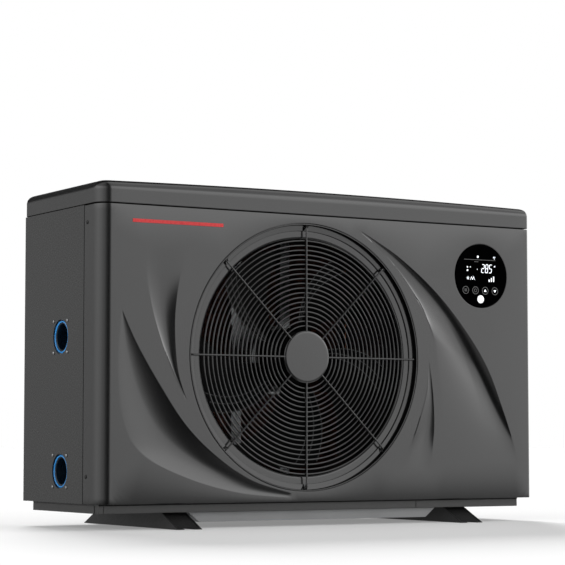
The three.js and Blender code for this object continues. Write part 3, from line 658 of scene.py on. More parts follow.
def front_panel():
    edge = 0.9 * MM  # rounding where the flat face meets the display or the top and bottom edges
    small = 0.4 * MM  # and where it meets the shadow gap round the fan opening
    low, high = PANEL_LOW.z, PANEL_HIGH.z - SEAM_GAP
    left, right = -HALF_WIDTH + CORNER_LEFT, HALF_WIDTH - CORNER_RIGHT
    verts, faces = [], []

    levels = 48
    heights = [low + edge + (high - low - 2 * edge) * k / levels for k in range(levels + 1)]
    outline = [(left, z) for z in heights]
    outline += [(left + (right - left) * k / 64, heights[-1]) for k in range(1, 64)]
    outline += [(right, z) for z in reversed(heights)]
    outline += [(left + (right - left) * k / 64, heights[0]) for k in range(63, 0, -1)]

    patches = [relief_patch(relief) for relief in RELIEFS]
    holes = []
    for rows in patches:
        holes.append([(rows[i][j][0], rows[i][j][2]) for i, j in patch_outline(rows)])
    holes.append(circle(FAN_X, FAN_Z, GAP_OUTER + small, 256))
    holes.append(circle(DISPLAY.x, DISPLAY.z, DISPLAY_R + 0.9 * MM + edge, 96))
    flat, triangles = flat_with_holes(outline, holes)
    verts.extend((p[0], FRONT, p[1]) for p in flat)
    faces.extend(triangles)

    for rows in patches:
        base = len(verts)
        verts.extend(p for row in rows for p in row)
        faces.extend(woven(len(rows), len(rows[0]), base, closed=False))

    def sweep(ring_points):
        """Joins neighbouring rings of equal length, each a closed loop."""
        base = len(verts)
        for ring in ring_points:
            verts.extend(ring)
        faces.extend(woven(len(ring_points), len(ring_points[0]), base))

    def rings(x, z, count, profile):
        return [[(px, y, pz) for px, pz in circle(x, z, r, count)] for r, y in profile]

    step = FRONT + RECESS
    rim = OPENING_R - 1.6 * MM
    fold = 1 * MM
    mouth = bend(GAP_OUTER + small, FRONT + small, small, -90, -180)
    mouth += [(GAP_OUTER, FRONT + 4 * MM), (GAP_INNER, FRONT + 4 * MM)]
    mouth += bend(GAP_INNER - small, FRONT + small, small, 0, -90)
    mouth += bend(rim + small, FRONT + small, small, -90, -180)
    mouth += bend(rim - fold, step - fold, fold, 0, 90)
    mouth += bend(FLANGE_R + fold, step + fold, fold, -90, -180)
    mouth += [(FLANGE_R, step + SHEET)]
    sweep(rings(FAN_X, FAN_Z, 256, mouth))
    seat = DISPLAY_R + 0.9 * MM
    frame_edge = bend(seat + edge, FRONT + edge, edge, -90, -180)
    sweep(rings(DISPLAY.x, DISPLAY.z, 96, [*frame_edge, (seat, FRONT + SHEET)]))

    wrap_left = bend(left, FRONT + CORNER_LEFT, CORNER_LEFT, -90, -180, 20)
    corner_end = FRONT + CORNER_LEFT
    wrap_left += [(-HALF_WIDTH, corner_end + (PANEL_HIGH.y - corner_end) * share) for share in (0.5, 1)]
    wrap_right = bend(right, FRONT + CORNER_RIGHT, CORNER_RIGHT, -90, 0, 8)
    wrap_right += [(HALF_WIDTH, FRONT + 20 * MM)]
    for plan in (wrap_left, wrap_right):
        base = len(verts)
        verts.extend((x, y, z) for x, y in plan for z in heights)
        faces.extend(woven(len(plan), len(heights), base, closed=False))

    plan = list(reversed(wrap_left))
    plan += [(left + (right - left) * k / 64, FRONT) for k in range(1, 64)]
    plan += wrap_right
    quarter = [math.radians(90 * k / 4) for k in range(5)]
    normals = []
    for k in range(len(plan)):
        before, after = Vector(plan[max(k - 1, 0)]), Vector(plan[min(k + 1, len(plan) - 1)])
        along = (after - before).normalized()
        normals.append(Vector((-along.y, along.x)))
    for start, sign in ((heights[-1], 1), (heights[0], -1)):
        base = len(verts)
        for angle in quarter:
            shift = edge * (1 - math.cos(angle))
            z = start + sign * edge * math.sin(angle)
            verts.extend((x + n.x * shift, y + n.y * shift, z) for (x, y), n in zip(plan, normals))
        faces.extend(woven(len(quarter), len(plan), base, closed=False))

    piece = build("front_panel_moulding", verts, faces, anthracite)
    mark_creases(piece, 14)
    facing_out(piece)
    thick = piece.modifiers.new("thickness", "SOLIDIFY")
    thick.thickness = SHEET
    thick.offset = -1
    settle(piece, "anthracite_moulding", "front_panel")


def accent_bar():
    """A plain slim red strip near the upper left corner of the front."""
    strip = box_piece(
        "accent_strip",
        (-414 * MM, FRONT - 0.8 * MM, 551.5 * MM),
        (-227 * MM, FRONT + 0.4 * MM, 558 * MM),
        accent_red,
    )
    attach(soften(strip, 0.35 * MM), "root")


def facing_out(piece):
    """Turns the sheet's faces so that the front face looks towards -Y."""
    with editing(piece.data) as work:
        bmesh.ops.recalc_face_normals(work, faces=work.faces)
        if max(work.faces, key=lambda f: f.calc_area()).normal.y > 0:
            bmesh.ops.reverse_faces(work, faces=work.faces)


# ---------- top cover ----------
def cover_loop(inset, z, crown, rise):
    """A loop round the cover; crown scales how far it lifts at mid width."""
    corners = [(-1, -1, CORNER_LEFT), (1, -1, CORNER_RIGHT), (1, 1, CORNER_RIGHT), (-1, 1, CORNER_RIGHT)]
    points = []
    for index, (sx, sy, corner) in enumerate(corners):
        radius = max(corner - inset, 0.8 * MM)
        x = sx * (HALF_WIDTH - inset - radius)
        y = sy * (-FRONT - inset - radius)
        for k in range(13):
            angle = math.radians(180 + 90 * index + 7.5 * k)
            points.append((x + radius * math.cos(angle), y + radius * math.sin(angle)))
    full = []
    for k, (x, y) in enumerate(points):
        full.append((x, y))
        after = points[(k + 1) % len(points)]
        if k % 13 == 12:
            pieces = 40 if (k // 13) % 2 == 0 else 12  # the front and rear stretches are the long ones
            shares = [m / pieces for m in range(1, pieces)]
            full.extend((x + (after[0] - x) * share, y + (after[1] - y) * share) for share in shares)
    return [(x, y, z + crown * rise * (1 - (x / HALF_WIDTH) ** 2)) for x, y in full]


def top_cover():
    fillet, lip, wall = 16 * MM, 1.0 * MM, 3 * MM
    low = COVER_LOW.z + 0.5 * MM
    rise = 5.3 * MM
    top = COVER_HIGH.z - rise
    loops = [cover_loop(wall, low, 0, rise), cover_loop(lip, low, 0, rise)]
    for k in range(1, 5):
        angle = math.radians(90 * k / 4)
        loops.append(cover_loop(lip * (1 - math.sin(angle)), low + lip * (1 - math.cos(angle)), 0, rise))
    loops.append(cover_loop(0, low + lip + 0.5 * MM, 0, rise))
    loops.append(cover_loop(0, top - fillet - 0.5 * MM, 0, rise))
    for k in range(13):
        angle = math.radians(90 * k / 12)
        lift = math.sin(angle)
        loops.append(cover_loop(fillet * (1 - math.cos(angle)), top - fillet + fillet * lift, lift, rise))
    loops += [cover_loop(margin * MM, top, 1, rise) for margin in (30, 55, 80, 105, 130, 150)]
    inner = [cover_loop(wall, top - fillet, 0, rise)]
    inner += [cover_loop(margin * MM, top - wall, 1, rise) for margin in (16, 60, 110, 150)]
    loops = list(reversed(inner)) + loops
    verts = [p for loop in loops for p in loop]
    count = len(loops[0])
    faces = woven(len(loops), count)
    faces.append(tuple(reversed(range(count))))
    faces.append(tuple(range(len(verts) - count, len(verts))))
    piece = mark_creases(build("top_cover_moulding", verts, faces, anthracite), 40)
    settle(piece, "anthracite_moulding", "top_cover")


# ---------- fan guard, bell mouth and fan ----------
WIRE = 1.55 * MM
RING_COUNT = 20
RING_FIRST, RING_LAST = 49.7 * MM, 219.5 * MM


def fan_guard():
    spoke_y = FRONT + 3 * MM
    ring_y = spoke_y + 2 * WIRE
    parts = []
    for k in range(1, RING_COUNT):
        radius = RING_FIRST + (RING_LAST - RING_FIRST) * k / (RING_COUNT - 1)
        parts.append(torus("wire", (FAN_X, ring_y, FAN_Z), radius, WIRE, anthracite))
    for k in range(8):
        out = outward(45 * k)

        def at(radius, y):
            return Vector((FAN_X, y, FAN_Z)) + out * radius

        hook = [(40, 0), (232, 0), (242, 0), (245.5, 0.6), (247, 2), (247, 3.6)]
        path = [at(r * MM, spoke_y + d * MM) for r, d in hook]
        parts.append(tube("spoke", path, WIRE * 1.06, anthracite, 10))
        if k % 4:
            side = Vector((-out.z, 0, out.x))
            depths = [(239, 0), (243, -2.5), (247, -4.5), (250, -3), (249.5, 0)]
            clip = [at(r * MM, spoke_y + 1.4 * MM) + side * d * MM for r, d in depths]
            parts.append(tube("clip", clip, 1.3 * MM, black_plastic, 8))
    hub = [(0, -2), (46, -2), (49.5, -0.6), (49.5, 4.4), (46.5, 4.4), (46.5, 1.2), (0, 1.2)]
    hub = rounded(in_metres(hub), 1.6 * MM, 5)
    parts.append(lathe("hub_disc", "y", (FAN_X, spoke_y, FAN_Z), hub, anthracite, 128))
    settle(merge("fan_guard_wirework", parts), "anthracite_moulding", "fan_guard")


def bell_mouth():
    """The flat ring behind the opening, its round flare and the straight throat."""
    face = FRONT + RECESS + SHEET + 0.3 * MM
    flare, wall = 7 * MM, 1.6 * MM
    lip = FLANGE_R + 14 * MM
    outline = [(lip, face), *bend(THROAT_R + flare, face + flare, flare, -90, -180, 8)]
    outline += [(THROAT_R, face + 20 * MM), (THROAT_R + wall, face + 20 * MM)]
    outline += bend(THROAT_R + flare, face + flare, flare - wall, -180, -90, 8)
    outline.append((lip, face + wall))
    mouth = lathe("bell_mouth", "y", FAN_AXIS, outline, anthracite, 160, closed=True)
    settle(mouth, "anthracite_moulding")
    # a near-black ring lines the recess wall round the opening: painted shade where the wall lies in shadow
    shade_ring_out = OPENING_R - 1.7 * MM
    near, far = FRONT + 0.9 * MM, FRONT + RECESS - 0.2 * MM
    thin = shade_ring_out - 0.7 * MM
    edge = rounded([(thin, near), (shade_ring_out, near), (shade_ring_out, far), (thin, far)], 0.25 * MM, 3, closed=True)
    shade_ring = lathe("opening_painted_shade_ring", "y", FAN_AXIS, edge, fan_plastic, 200, closed=True)
    settle(shade_ring, "black_plastic")
    inner, outer = THROAT_R + 0.1 * MM, THROAT_R + 2 * MM
    near, far = face + 20.3 * MM, face + 68 * MM
    throat = [(inner, near), (outer, near), (outer, far), (inner, far)]
    ring = lathe("fan_throat_ring", "y", FAN_AXIS, throat, black_plastic, 160, closed=True)
    settle(ring, "black_plastic", "fan_shroud")


BLADE_ROOT, BLADE_TIP = 54 * MM, 208 * MM
BLADE_FRONT, BLADE_DEPTH, BLADE_CAMBER = -116.5 * MM, 41 * MM, 5 * MM
BLADE_SWEEP, BLADE_BOW = 20, 3.5  # degrees that the leading edge trails at the tip and bows at mid length
CHORD_ROOT, CHORD_GROWTH = 40, 8  # degrees round the axis from the leading to the trailing edge


def on_blade(turn, share, along, lift):
    """A place on a blade: share of the way to the tip, along from the leading edge, lifted along Y."""
    radius = BLADE_ROOT + (BLADE_TIP - BLADE_ROOT) * share
    front = turn - BLADE_SWEEP * share + BLADE_BOW * math.sin(math.pi * share)
    angle = math.radians(front - (CHORD_ROOT + CHORD_GROWTH * share) * along)
    y = BLADE_FRONT + BLADE_DEPTH * along + BLADE_CAMBER * math.sin(math.pi * along) + lift
    return (FAN_X + radius * math.cos(angle), y, FAN_Z + radius * math.sin(angle))


def blade(turn):
    """One swept blade with a thick rounded leading edge and a thin trailing edge."""
    stations, chordwise = 22, 18
    verts = []
    loop = 2 * chordwise
    for i in range(stations + 1):
        for j in range(loop):
            along = j / chordwise if j <= chordwise else 2 - j / chordwise
            side = -1 if j <= chordwise else 1
            bulge = math.sqrt(max(math.sin(math.pi * min(along * 0.93 + 0.035, 1)), 0))
            verts.append(on_blade(turn, i / stations, along, side * (1.5 * MM * bulge + 0.15 * MM)))
    faces = woven(stations + 1, loop)
    faces.append(tuple(reversed(range(loop))))
    faces.append(tuple(range(stations * loop, (stations + 1) * loop)))
    body = mark_creases(build("blade", verts, faces, fan_plastic), 50)
    return [body, *(blade_highlight_rib(turn, along) for along in (0.0, 0.13, 0.24))]


def blade_highlight_rib(turn, along):
    """A fine raised rib that runs out along the blade near its leading edge, in a lighter grey than the
    blade: a painted highlight on the edge.
    """
    path = [on_blade(turn, 0.12 + 0.84 * i / 14, along, -1.3 * MM) for i in range(15)]
    return tube("rib", path, 1.0 * MM, highlight_rib_plastic, 8)


def fan():
    parts = [piece for k in range(5) for piece in blade(86 + 72 * k)]
    hub = [(6.8, -112), (47, -112), (57.5, -105), (57.5, -72), (54, -72), (54, -101), (6.8, -103)]
    hub = rounded(in_metres(hub), 3 * MM, 4, closed=True)
    parts.append(lathe("hub", "y", FAN_AXIS, hub, fan_plastic, 72, closed=True))
    for k in range(10):
        out = outward(36 * k)
        start = Vector((FAN_X, -112.6 * MM, FAN_Z)) + out * 15 * MM
        parts.append(tube("rib", [start, start + out * 27 * MM], 0.9 * MM, fan_plastic, 8))
    nodes = ["fan_hub", *(f"fan_blade_{k}" for k in range(1, 6))]
    settle(merge("fan_impeller_moulding", parts), "black_plastic", *nodes, body="fan")
    low, high = extent("fan_shaft")
    shaft = rounded([(0, low.y), (6 * MM, low.y), (6 * MM, high.y), (0, high.y)], 0.8 * MM)
    spindle = lathe("spindle", "y", FAN_AXIS, shaft, steel, 40)
    nut = in_metres([(6.2, -120.5), (12, -120.5), (12, -112.3), (6.2, -112.3)])
    nut = rounded(nut, 0.7 * MM, closed=True)
    nut = lathe("nut", "y", FAN_AXIS, nut, steel, 6, closed=True)
    settle(merge("fan_shaft_and_nut", [spindle, nut]), "steel", "fan_shaft", body="fan")


def fan_motor():
    can = rounded([(6.6, -66), (22, -66), (24, -60), (58, -56), (62, -50), (62, 4), (56, 10), (0, 10)], 3)
    parts = [lathe("can", "y", FAN_AXIS, in_metres(can), zinc, 72)]
    for k in range(24):
        out = outward(15 * k)
        rib_low = Vector((FAN_X, -46 * MM, FAN_Z)) + out * 61.6 * MM
        parts.append(tube("rib", [rib_low, rib_low + Vector((0, 44 * MM, 0))], 1.1 * MM, zinc, 6))
    settle(merge("fan_motor_ribbed", parts), "galvanised", "fan_motor")
    as_drawn("motor_bracket", "motor_bracket_pressing", zinc, 0.8 * MM, "galvanised")


def evaporator():
    low, high = extent("evaporator_coil")
    pitch, thick = 3.6 * MM, 0.35 * MM
    parts = []
    wave = 4.7 * MM  # each fin bends sideways by this much at mid depth, so no light comes straight through
    count = int((high.x - low.x - wave) / pitch)
    verts, faces = [], []
    for k in range(count + 1):
        x = low.x + k * pitch
        base = len(verts)
        for y, bend in ((low.y, 0), ((low.y + high.y) / 2, wave), (high.y, 0)):
            for px, pz in ((x, low.z), (x + thick, low.z), (x + thick, high.z), (x, high.z)):
                verts.append((px + bend, y, pz))
        faces.append(tuple(base + v for v in (0, 1, 2, 3)))
        faces.append(tuple(base + v for v in (11, 10, 9, 8)))
        faces.extend(face[::-1] for face in woven(3, 4, base))
    parts.append(mark_creases(build("fins", verts, faces, fin_stock)))
    for row, y in enumerate((low.y + 10 * MM, high.y - 9 * MM)):
        for k in range(20):
            z = low.z + 14 * MM + 25.4 * MM * k + (6 * MM if row else 0)
            if z < high.z - 6 * MM:
                parts.append(tube("tube", [(low.x, y, z), (high.x, y, z)], 4.6 * MM, copper, 10))
    settle(merge("evaporator_fin_pack", parts), "fin_pack", "evaporator_coil")


# ---------- display ----------
def display():
    low, high = extent("display_glass")
    centre = (DISPLAY.x, 0, DISPLAY.z)
    r = DISPLAY_R
    rim = rounded(
        [
            (0, low.y), (r - 1.4 * MM, low.y), (r, low.y + 1.2 * MM), (r, low.y + 2.5 * MM),
            (56 * MM, low.y + 2.5 * MM), (56 * MM, high.y), (0, high.y),
        ],
        0.7 * MM,
        4,
    )
    disc = lathe("display_glass_disc", "y", centre, rim, glass, 128)
    settle(disc, "display_black", "display_glass")

    key_low, key_high = extent("power_key")
    key_r = (key_high.x - key_low.x) / 2
    face = key_low.y - 0.9 * MM  # stands far enough out to stay in sight when the key is pressed right in
    button = rounded(
        [(0, face), (key_r - 0.9 * MM, face), (key_r, face + 0.9 * MM), (key_r, FRONT + 3.4 * MM),
         (3.5 * MM, FRONT + 3.4 * MM), (3.5 * MM, key_high.y), (0, key_high.y)],
        0.4 * MM,
    )
    cap = lathe("power_key_cap", "y", (KEY.x, 0, KEY.z), button, key_white_glow, 48)
    settle(cap, "key_white", "power_key", body="power_key")
    symbols()


# The symbols are laid out in millimetres from the centre of the display.
SEGMENTS = {"2": "abged", "8": "abcdefg", "5": "afgcd"}
PRINT_FRONT = extent("display_glass")[0].y - 0.06 * MM
PRINT_BACK = PRINT_FRONT + 0.12 * MM


def flat_shape(loop, material):
    """A thin printed shape with its outline in (X, Z)."""
    count = len(loop)
    verts = [(DISPLAY.x + x * MM, y, DISPLAY.z + z * MM) for y in (PRINT_FRONT, PRINT_BACK) for x, z in loop]
    faces = [tuple(range(count)), tuple(reversed(range(count, 2 * count)))]
    faces += [(k, k + count, (k + 1) % count + count, (k + 1) % count) for k in range(count)]
    return mark_creases(build("mark", verts, faces, material))


def bar(x0, z0, x1, z1, width, material):
    a, b = Vector((x0, z0)), Vector((x1, z1))
    side = (b - a).orthogonal().normalized() * width / 2
    tip = (b - a).normalized() * width / 2
    return flat_shape([a - tip, a + side, b + side, b + tip, b - side, a - side], material)


def digit(character, x, z, high):
    """A seven-segment digit with its lower left corner at (x, z)."""
    wide, mid, gap, lean = high * 0.36, high / 2, high * 0.05, 0.12
    ends = {
        "a": (0, high, wide, high), "b": (wide, mid, wide, high), "c": (wide, 0, wide, mid),
        "d": (0, 0, wide, 0), "e": (0, 0, 0, mid), "f": (0, mid, 0, high), "g": (0, mid, wide, mid),
    }
    made = []
    for name in SEGMENTS[character]:
        x0, z0, x1, z1 = ends[name]
        if z0 == z1:
            x0, x1 = x0 + gap, x1 - gap
        else:
            z0, z1 = z0 + gap, z1 - gap
        start = (x + x0 + lean * z0, z + z0)
        made.append(bar(*start, x + x1 + lean * z1, z + z1, high * 0.095, symbol_white))
    return made


def disc_mark(x, z, radius, count=24):
    return flat_shape(circle(x, z, radius, count), symbol_white)


def arc_marks(x, z, radius, width, material, steps, start=0, end=360):
    """An arc drawn as short bars."""
    points = bend(x, z, radius, start, end, steps)
    return [bar(*points[k], *points[k + 1], width, material) for k in range(steps)]


def symbols():
    """Generic readings, signal arcs and key marks; no words."""
    parts = [bar(-41, 32, 36, 32, 0.7, symbol_dim), bar(-16, 28, -7, 28, 0.8, symbol_dim)]
    parts.append(disc_mark(-7.5, 38, 2.3))
    for radius in (2.2, 4.2):
        parts += arc_marks(33, 35, radius, 0.8, symbol_white, 5, 50, 130)
    parts.append(disc_mark(33, 35, 0.8))
    for k, character in enumerate("285"):
        parts += digit(character, 1 + 9.2 * k, 7, 16)
    parts += arc_marks(33.5, 20, 1.2, 0.6, symbol_white, 10)
    for x, z, radius in ((-33, 17, 1.5), (-33, 10.5, 2.0), (-26, 17, 1.0), (-9, 13, 0.9)):
        parts.append(disc_mark(x, z, radius, 16))
    for turn in range(0, 180, 60):
        dx, dz = 3.4 * math.cos(math.radians(turn)), 3.4 * math.sin(math.radians(turn))
        parts.append(bar(-32 - dx, -5 - dz, -32 + dx, -5 + dz, 0.8, symbol_white))
    wave = [(-26 + 2.6 * k, -5 + (3 if k % 2 else -3)) for k in range(5)]
    for start, end in zip(wave, wave[1:]):
        parts.append(bar(*start, *end, 0.9, symbol_white))
    for k in range(3):
        x = 20 + 5.5 * k
        parts.append(bar(x, -10, x, -7 + 3 * k, 2.8, symbol_white))
    for k in range(4):
        x, z = -37.5 + 23.8 * k, -29
        parts += arc_marks(x, z, 7.2, 1.0, symbol_dim, 20)
        parts += key_mark(k, x, z)
    settle(merge("display_symbols", parts), "key_white")


def key_mark(kind, x, z):
    """The sign on each of the four touch keys: menu, ring, up and down."""
    if kind == 0:
        return [bar(x - 3, z + d, x + 3, z + d, 0.8, symbol_dim) for d in (-2, 0, 2)]
    if kind == 1:
        return arc_marks(x, z, 3, 0.8, symbol_dim, 14)
    tip = 3.2 if kind == 2 else -3.2
    return [flat_shape([(x - 3.4, z - tip * 0.6), (x + 3.4, z - tip * 0.6), (x, z + tip)], symbol_white)]


# ---------- cabinet sides, base and feet ----------
def screw(axis, place, sign, material, head=3.6 * MM, proud=1.9 * MM):
    """A pan-head screw with a round recess in its head, standing on a face that looks along sign times the
    axis.
    """
    profile = [(0, proud * 0.62), (head * 0.22, proud * 0.62), (head * 0.3, proud)]
    for k in range(1, 7):
        angle = math.radians(90 * k / 6)
        profile.append((head * (0.3 + 0.7 * math.sin(angle)), proud * (0.25 + 0.75 * math.cos(angle))))
    profile += [(head, 0), (0, 0)]
    return lathe("head", axis, place, [(r, sign * along) for r, along in profile], material, 24)


def left_side():
    sheet = refined("left_side_panel", "left_side_sheet", side_paint, 0.5 * MM)
    front_edge = extent("left_side_panel")[0].y + 1 * MM
    joint = 1.3 * MM  # the sheet stops this far short, which opens the joint behind the wrapped edge
    for vertex in sheet.data.vertices:
        if vertex.co.y < front_edge:
            vertex.co.y += joint
    settle(sheet, "side_sheet", "left_side_panel")
    for which in ("upper", "lower"):
        water_port(which)
    low, high = extent("wrap_fixing_strip")
    y = (low.y + high.y) / 2
    parts = []
    for z in (low.z + 20 * MM, high.z - 20 * MM):
        parts.append(screw("x", (-HALF_WIDTH - 0.1 * MM, y, z), -1, dark_screw, 3.6 * MM, 1.4 * MM))
    back = (high.x - 2 * MM, low.y, low.z), (high.x, high.y, high.z)
    parts.append(box_piece("strip", *back, dark_screw))
    settle(merge("wrap_fixing_and_screws", parts), "steel", "wrap_fixing_strip")


def water_port(which):
    low, high = extent(f"port_collar_{which}")
    centre = (0, (low.y + high.y) / 2, (low.z + high.z) / 2)
    outer, face = (high.y - low.y) / 2, low.x
    bore = 23.7 * MM
    lining = outer - 3.2 * MM
    back = face + 12.4 * MM
    ring = [
        (lining, back), (lining, face + 1.0 * MM), (lining + 0.8 * MM, face), (outer - 1.2 * MM, face),
        (outer, face + 1.2 * MM), (outer, back),
    ]
    ring = rounded(ring, 0.8 * MM, closed=True)
    collar = lathe("ring", "x", centre, ring, blue_plastic, 96, closed=True)
    # the bore is lined in the darker blue: painted shade inside the port
    snug = lining - 0.1 * MM
    shade_sleeve = [(bore, back), (bore, face + 2.4 * MM), (snug, face + 1.6 * MM), (snug, back)]
    shade_sleeve = rounded(shade_sleeve, 0.6 * MM, 3, closed=True)
    shade_sleeve = lathe("shade_sleeve", "x", centre, shade_sleeve, shaded_blue_plastic, 96, closed=True)
    settle(merge(f"port_collar_ring_{which}", [collar, shade_sleeve]), "blue_collar", f"port_collar_{which}")
    pipe_low, pipe_high = extent(f"water_pipe_{which}")
    # the pipe stub takes the same darker blue: painted shade deeper in the bore
    skin = outer - 1 * MM
    wall = [(bore, pipe_low.x), (bore, pipe_high.x), (skin, pipe_high.x), (skin, pipe_low.x)]
    stub = lathe(f"water_pipe_stub_{which}", "x", centre, wall, shaded_blue_plastic, 72, closed=True)
    settle(stub, "black_plastic", f"water_pipe_{which}")

    reach = 29 * MM
    flange_low, flange_high = extent(f"port_flange_{which}")
    surface = -HALF_WIDTH - 0.1 * MM
    parts = []
    for sy in (-1, 1):
        for sz in (-1, 1):
            place = (surface, centre[1] + sy * reach, centre[2] + sz * reach)
            parts.append(screw("x", place, -1, screw_zinc, 3.5 * MM, 2.0 * MM))
    half = (flange_high.y - flange_low.y) / 2
    ring_r, low_face, high_face = outer + 1 * MM, surface + 2.2 * MM, surface + 4 * MM
    plate = [(ring_r, low_face), (half, low_face), (half, high_face), (ring_r, high_face)]
    parts.append(lathe("clamp", "x", centre, plate, steel, 72, closed=True))
    settle(merge(f"port_clamp_{which}", parts), "steel", f"port_flange_{which}")


def right_side():
    as_drawn("right_side_panel", "right_side_sheet", side_paint, 0.7 * MM, "side_sheet")
    as_drawn("terminal_cover", "terminal_cover_lid", black_plastic, 0.5 * MM, "black_plastic")


def rear_side():
    as_drawn("rear_panel", "rear_sheet", side_paint, 0.6 * MM, "side_sheet")
    rear_guard()
    low, high = extent("cable_gland")
    centre = ((low.x + high.x) / 2, 0, (low.z + high.z) / 2)
    body = [
        (5.5, 152), (13, 152), (13, 157.9), (9, 157.9), (9, 160.3), (14, 160.3), (14, 168),
        (12, 169.5), (12, 177), (9, 184), (5.5, 184),
    ]
    body = rounded(in_metres(body), 0.8 * MM, 3, closed=True)
    parts = [lathe("body", "y", centre, body, black_plastic, 48, closed=True)]
    for k in range(18):
        out = outward(20 * k)
        start = Vector(centre) + out * 11.9 * MM + Vector((0, 170 * MM, 0))
        parts.append(tube("grip", [start, start + Vector((0, 6.5 * MM, 0))], 0.8 * MM, black_plastic, 6))
    settle(merge("cable_gland_body", parts), "black_plastic", "cable_gland")


def rear_guard():
    """A welded wire grille in its folded frame."""
    low, high = extent("rear_guard")
    y = high.y - 1.5 * MM
    parts = []
    band = 12 * MM
    for low_corner, high_corner in (
        ((low.x, low.y, low.z), (high.x, high.y, low.z + band)),
        ((low.x, low.y, high.z - band), (high.x, high.y, high.z)),
        ((low.x, low.y, low.z + band), (low.x + band, high.y, high.z - band)),
        ((high.x - band, low.y, low.z + band), (high.x, high.y, high.z - band)),
    ):
        parts.append(box_piece("band", low_corner, high_corner, side_paint))
    columns, rows = 24, 14
    wire, tuck = 0.95 * MM, 1 * MM  # the wires' radius, and how far their ends run into the frame
    x0, x1 = low.x + band, high.x - band
    z0, z1 = low.z + band, high.z - band
    for k in range(1, columns):
        x = x0 + (x1 - x0) * k / columns
        path = [(x, y, z0 - tuck), (x, y, z1 + tuck)]
        parts.append(tube("upright", path, wire, side_paint, 8, False))
    for k in range(1, rows):
        z = z0 + (z1 - z0) * k / rows
        path = [(x0 - tuck, y - 0.9 * MM, z), (x1 + tuck, y - 0.9 * MM, z)]
        parts.append(tube("crosswire", path, wire, side_paint, 8, False))
    settle(merge("rear_guard_wirework", parts), "side_sheet", "rear_guard")


def base():
    as_drawn("base_tray", "base_tray_pressing", plinth_paint, 0.8 * MM, "plinth_paint")
    low, high = extent("base_tray")
    tray_front, tray_left, tray_right = -146 * MM, -472 * MM, 456 * MM
    bottom, top = low.z + 0.6 * MM, PANEL_LOW.z - 2.6 * MM
    # a black strip above the plinth trims: painted shade under the overhanging front panel
    shade_strip_low, shade_strip_high = (tray_left, tray_front - 0.9 * MM, top), (tray_right, tray_front - 0.1 * MM, high.z)
    settle(box_piece("plinth_painted_shade_strip", shade_strip_low, shade_strip_high, rubber), "rubber")
    joint = 1.6 * MM
    splits = [tray_left - 1 * MM, -463 * MM, 210 * MM, tray_right]
    for k, (x0, x1) in enumerate(zip(splits, splits[1:])):
        strip = box_piece(
            f"plinth_front_trim_{k + 1}",
            (x0 + joint / 2, tray_front - 1.2 * MM, bottom),
            (x1 - joint / 2, tray_front - 0.1 * MM, top),
            plinth_paint,
        )
        settle(soften(strip, 0.4 * MM), "plinth_paint")
    side = box_piece(
        "plinth_left_trim",
        (tray_left - 1.2 * MM, -130 * MM, bottom),
        (tray_left - 0.1 * MM, 128 * MM, top),
        plinth_paint,
    )
    settle(soften(side, 0.4 * MM), "plinth_paint")
    longer = 23 * MM  # the rails run this much further to the left than the CAD's
    for which in ("front", "rear"):
        rail = refined(f"cross_rail_{which}", f"cross_rail_{which}_channel", rail_zinc, 0.8 * MM)
        for vertex in rail.data.vertices:
            if vertex.co.x < 0:
                vertex.co.x -= longer
        settle(rail, "galvanised", f"cross_rail_{which}")
    for which in ("left", "right"):
        as_drawn(f"foot_{which}", f"foot_{which}_channel", foot_paint, 0.6 * MM, "foot_paint")
        # black rubber pads fill the sloped foot ends: painted shade for the dark hollow inside each channel
        # end
        for end in ("front", "rear"):
            as_drawn(f"foot_plug_{which}_{end}", f"foot_shade_pad_{which}_{end}", rubber, 0.8 * MM, "rubber")


# ---------- CAD nodes that stay as they are ----------
CARRIED = {
    "condensate_nipple": black_plastic, "display_housing": black_plastic, "control_box": zinc,
    "control_board": board, "bay_partition_left": zinc, "bay_partition_right": zinc,
    "coil_end_plate_left": zinc, "coil_end_plate_right": zinc, "coil_header": copper,
    "compressor": black_plastic, "suction_accumulator": black_plastic, "four_way_valve": copper,
    "expansion_valve": brass, "discharge_pipe": copper, "suction_pipe": copper, "coil_gas_pipe": copper,
    "exchanger_gas_pipe": copper, "liquid_pipe": copper, "exchanger_shell": shell_grey,
    "titanium_coil": titanium, "flow_switch": black_plastic, "flow_paddle": steel,
}


def finish_carried_nodes():
    for node, material in CARRIED.items():
        mesh = NODES[node].data
        mesh.materials.clear()
        mesh.materials.append(material)


# ---------- studio ----------
def studio():
    scene = bpy.context.scene
    scene.view_settings.view_transform = "Standard"
    scene.view_settings.look = "None"

    side, below = 30.0, -0.2 * MM
    corners = [(x * side, y * side, below) for x, y in ((-1, -1), (1, -1), (1, 1), (-1, 1))]
    floor = build("studio_floor", corners, [(0, 1, 2, 3)], floor_finish())
    floor.visible_glossy = False
    world_light(scene)

    softbox = bpy.data.lights.new("overhead_softbox", "SUN")
    softbox.energy = 3.3
    softbox.angle = math.radians(24)
    overhead = bpy.data.objects.new("overhead_softbox", softbox)
    overhead.rotation_euler = Vector((-0.38, -1.2, -1.0)).to_track_quat("-Z", "Y").to_euler()
    overhead.visible_glossy = False
    scene.collection.objects.link(overhead)

    lens = bpy.data.cameras.new("camera")
    lens.lens = 134.36
    lens.sensor_width = 36
    lens.clip_end = 100
    camera = bpy.data.objects.new("camera", lens)
    camera.location = (-2.135, -3.529, 0.161)
    camera.rotation_euler = (math.radians(94.26), 0, math.radians(-31.14))
    scene.collection.objects.link(camera)
    scene.camera = camera


def floor_finish():
    made = Recipe("studio_floor_white", Roughness=0.9, Emission_Strength=0.24)
    made.colour(made.noise(1.5, 2), shades((0.62, 0.62, 0.62), 0.01))
    made.shader.inputs["Emission Color"].default_value = (1, 1, 1, 1)
    made.shader.inputs["Specular IOR Level"].default_value = 0.0
    return made.material


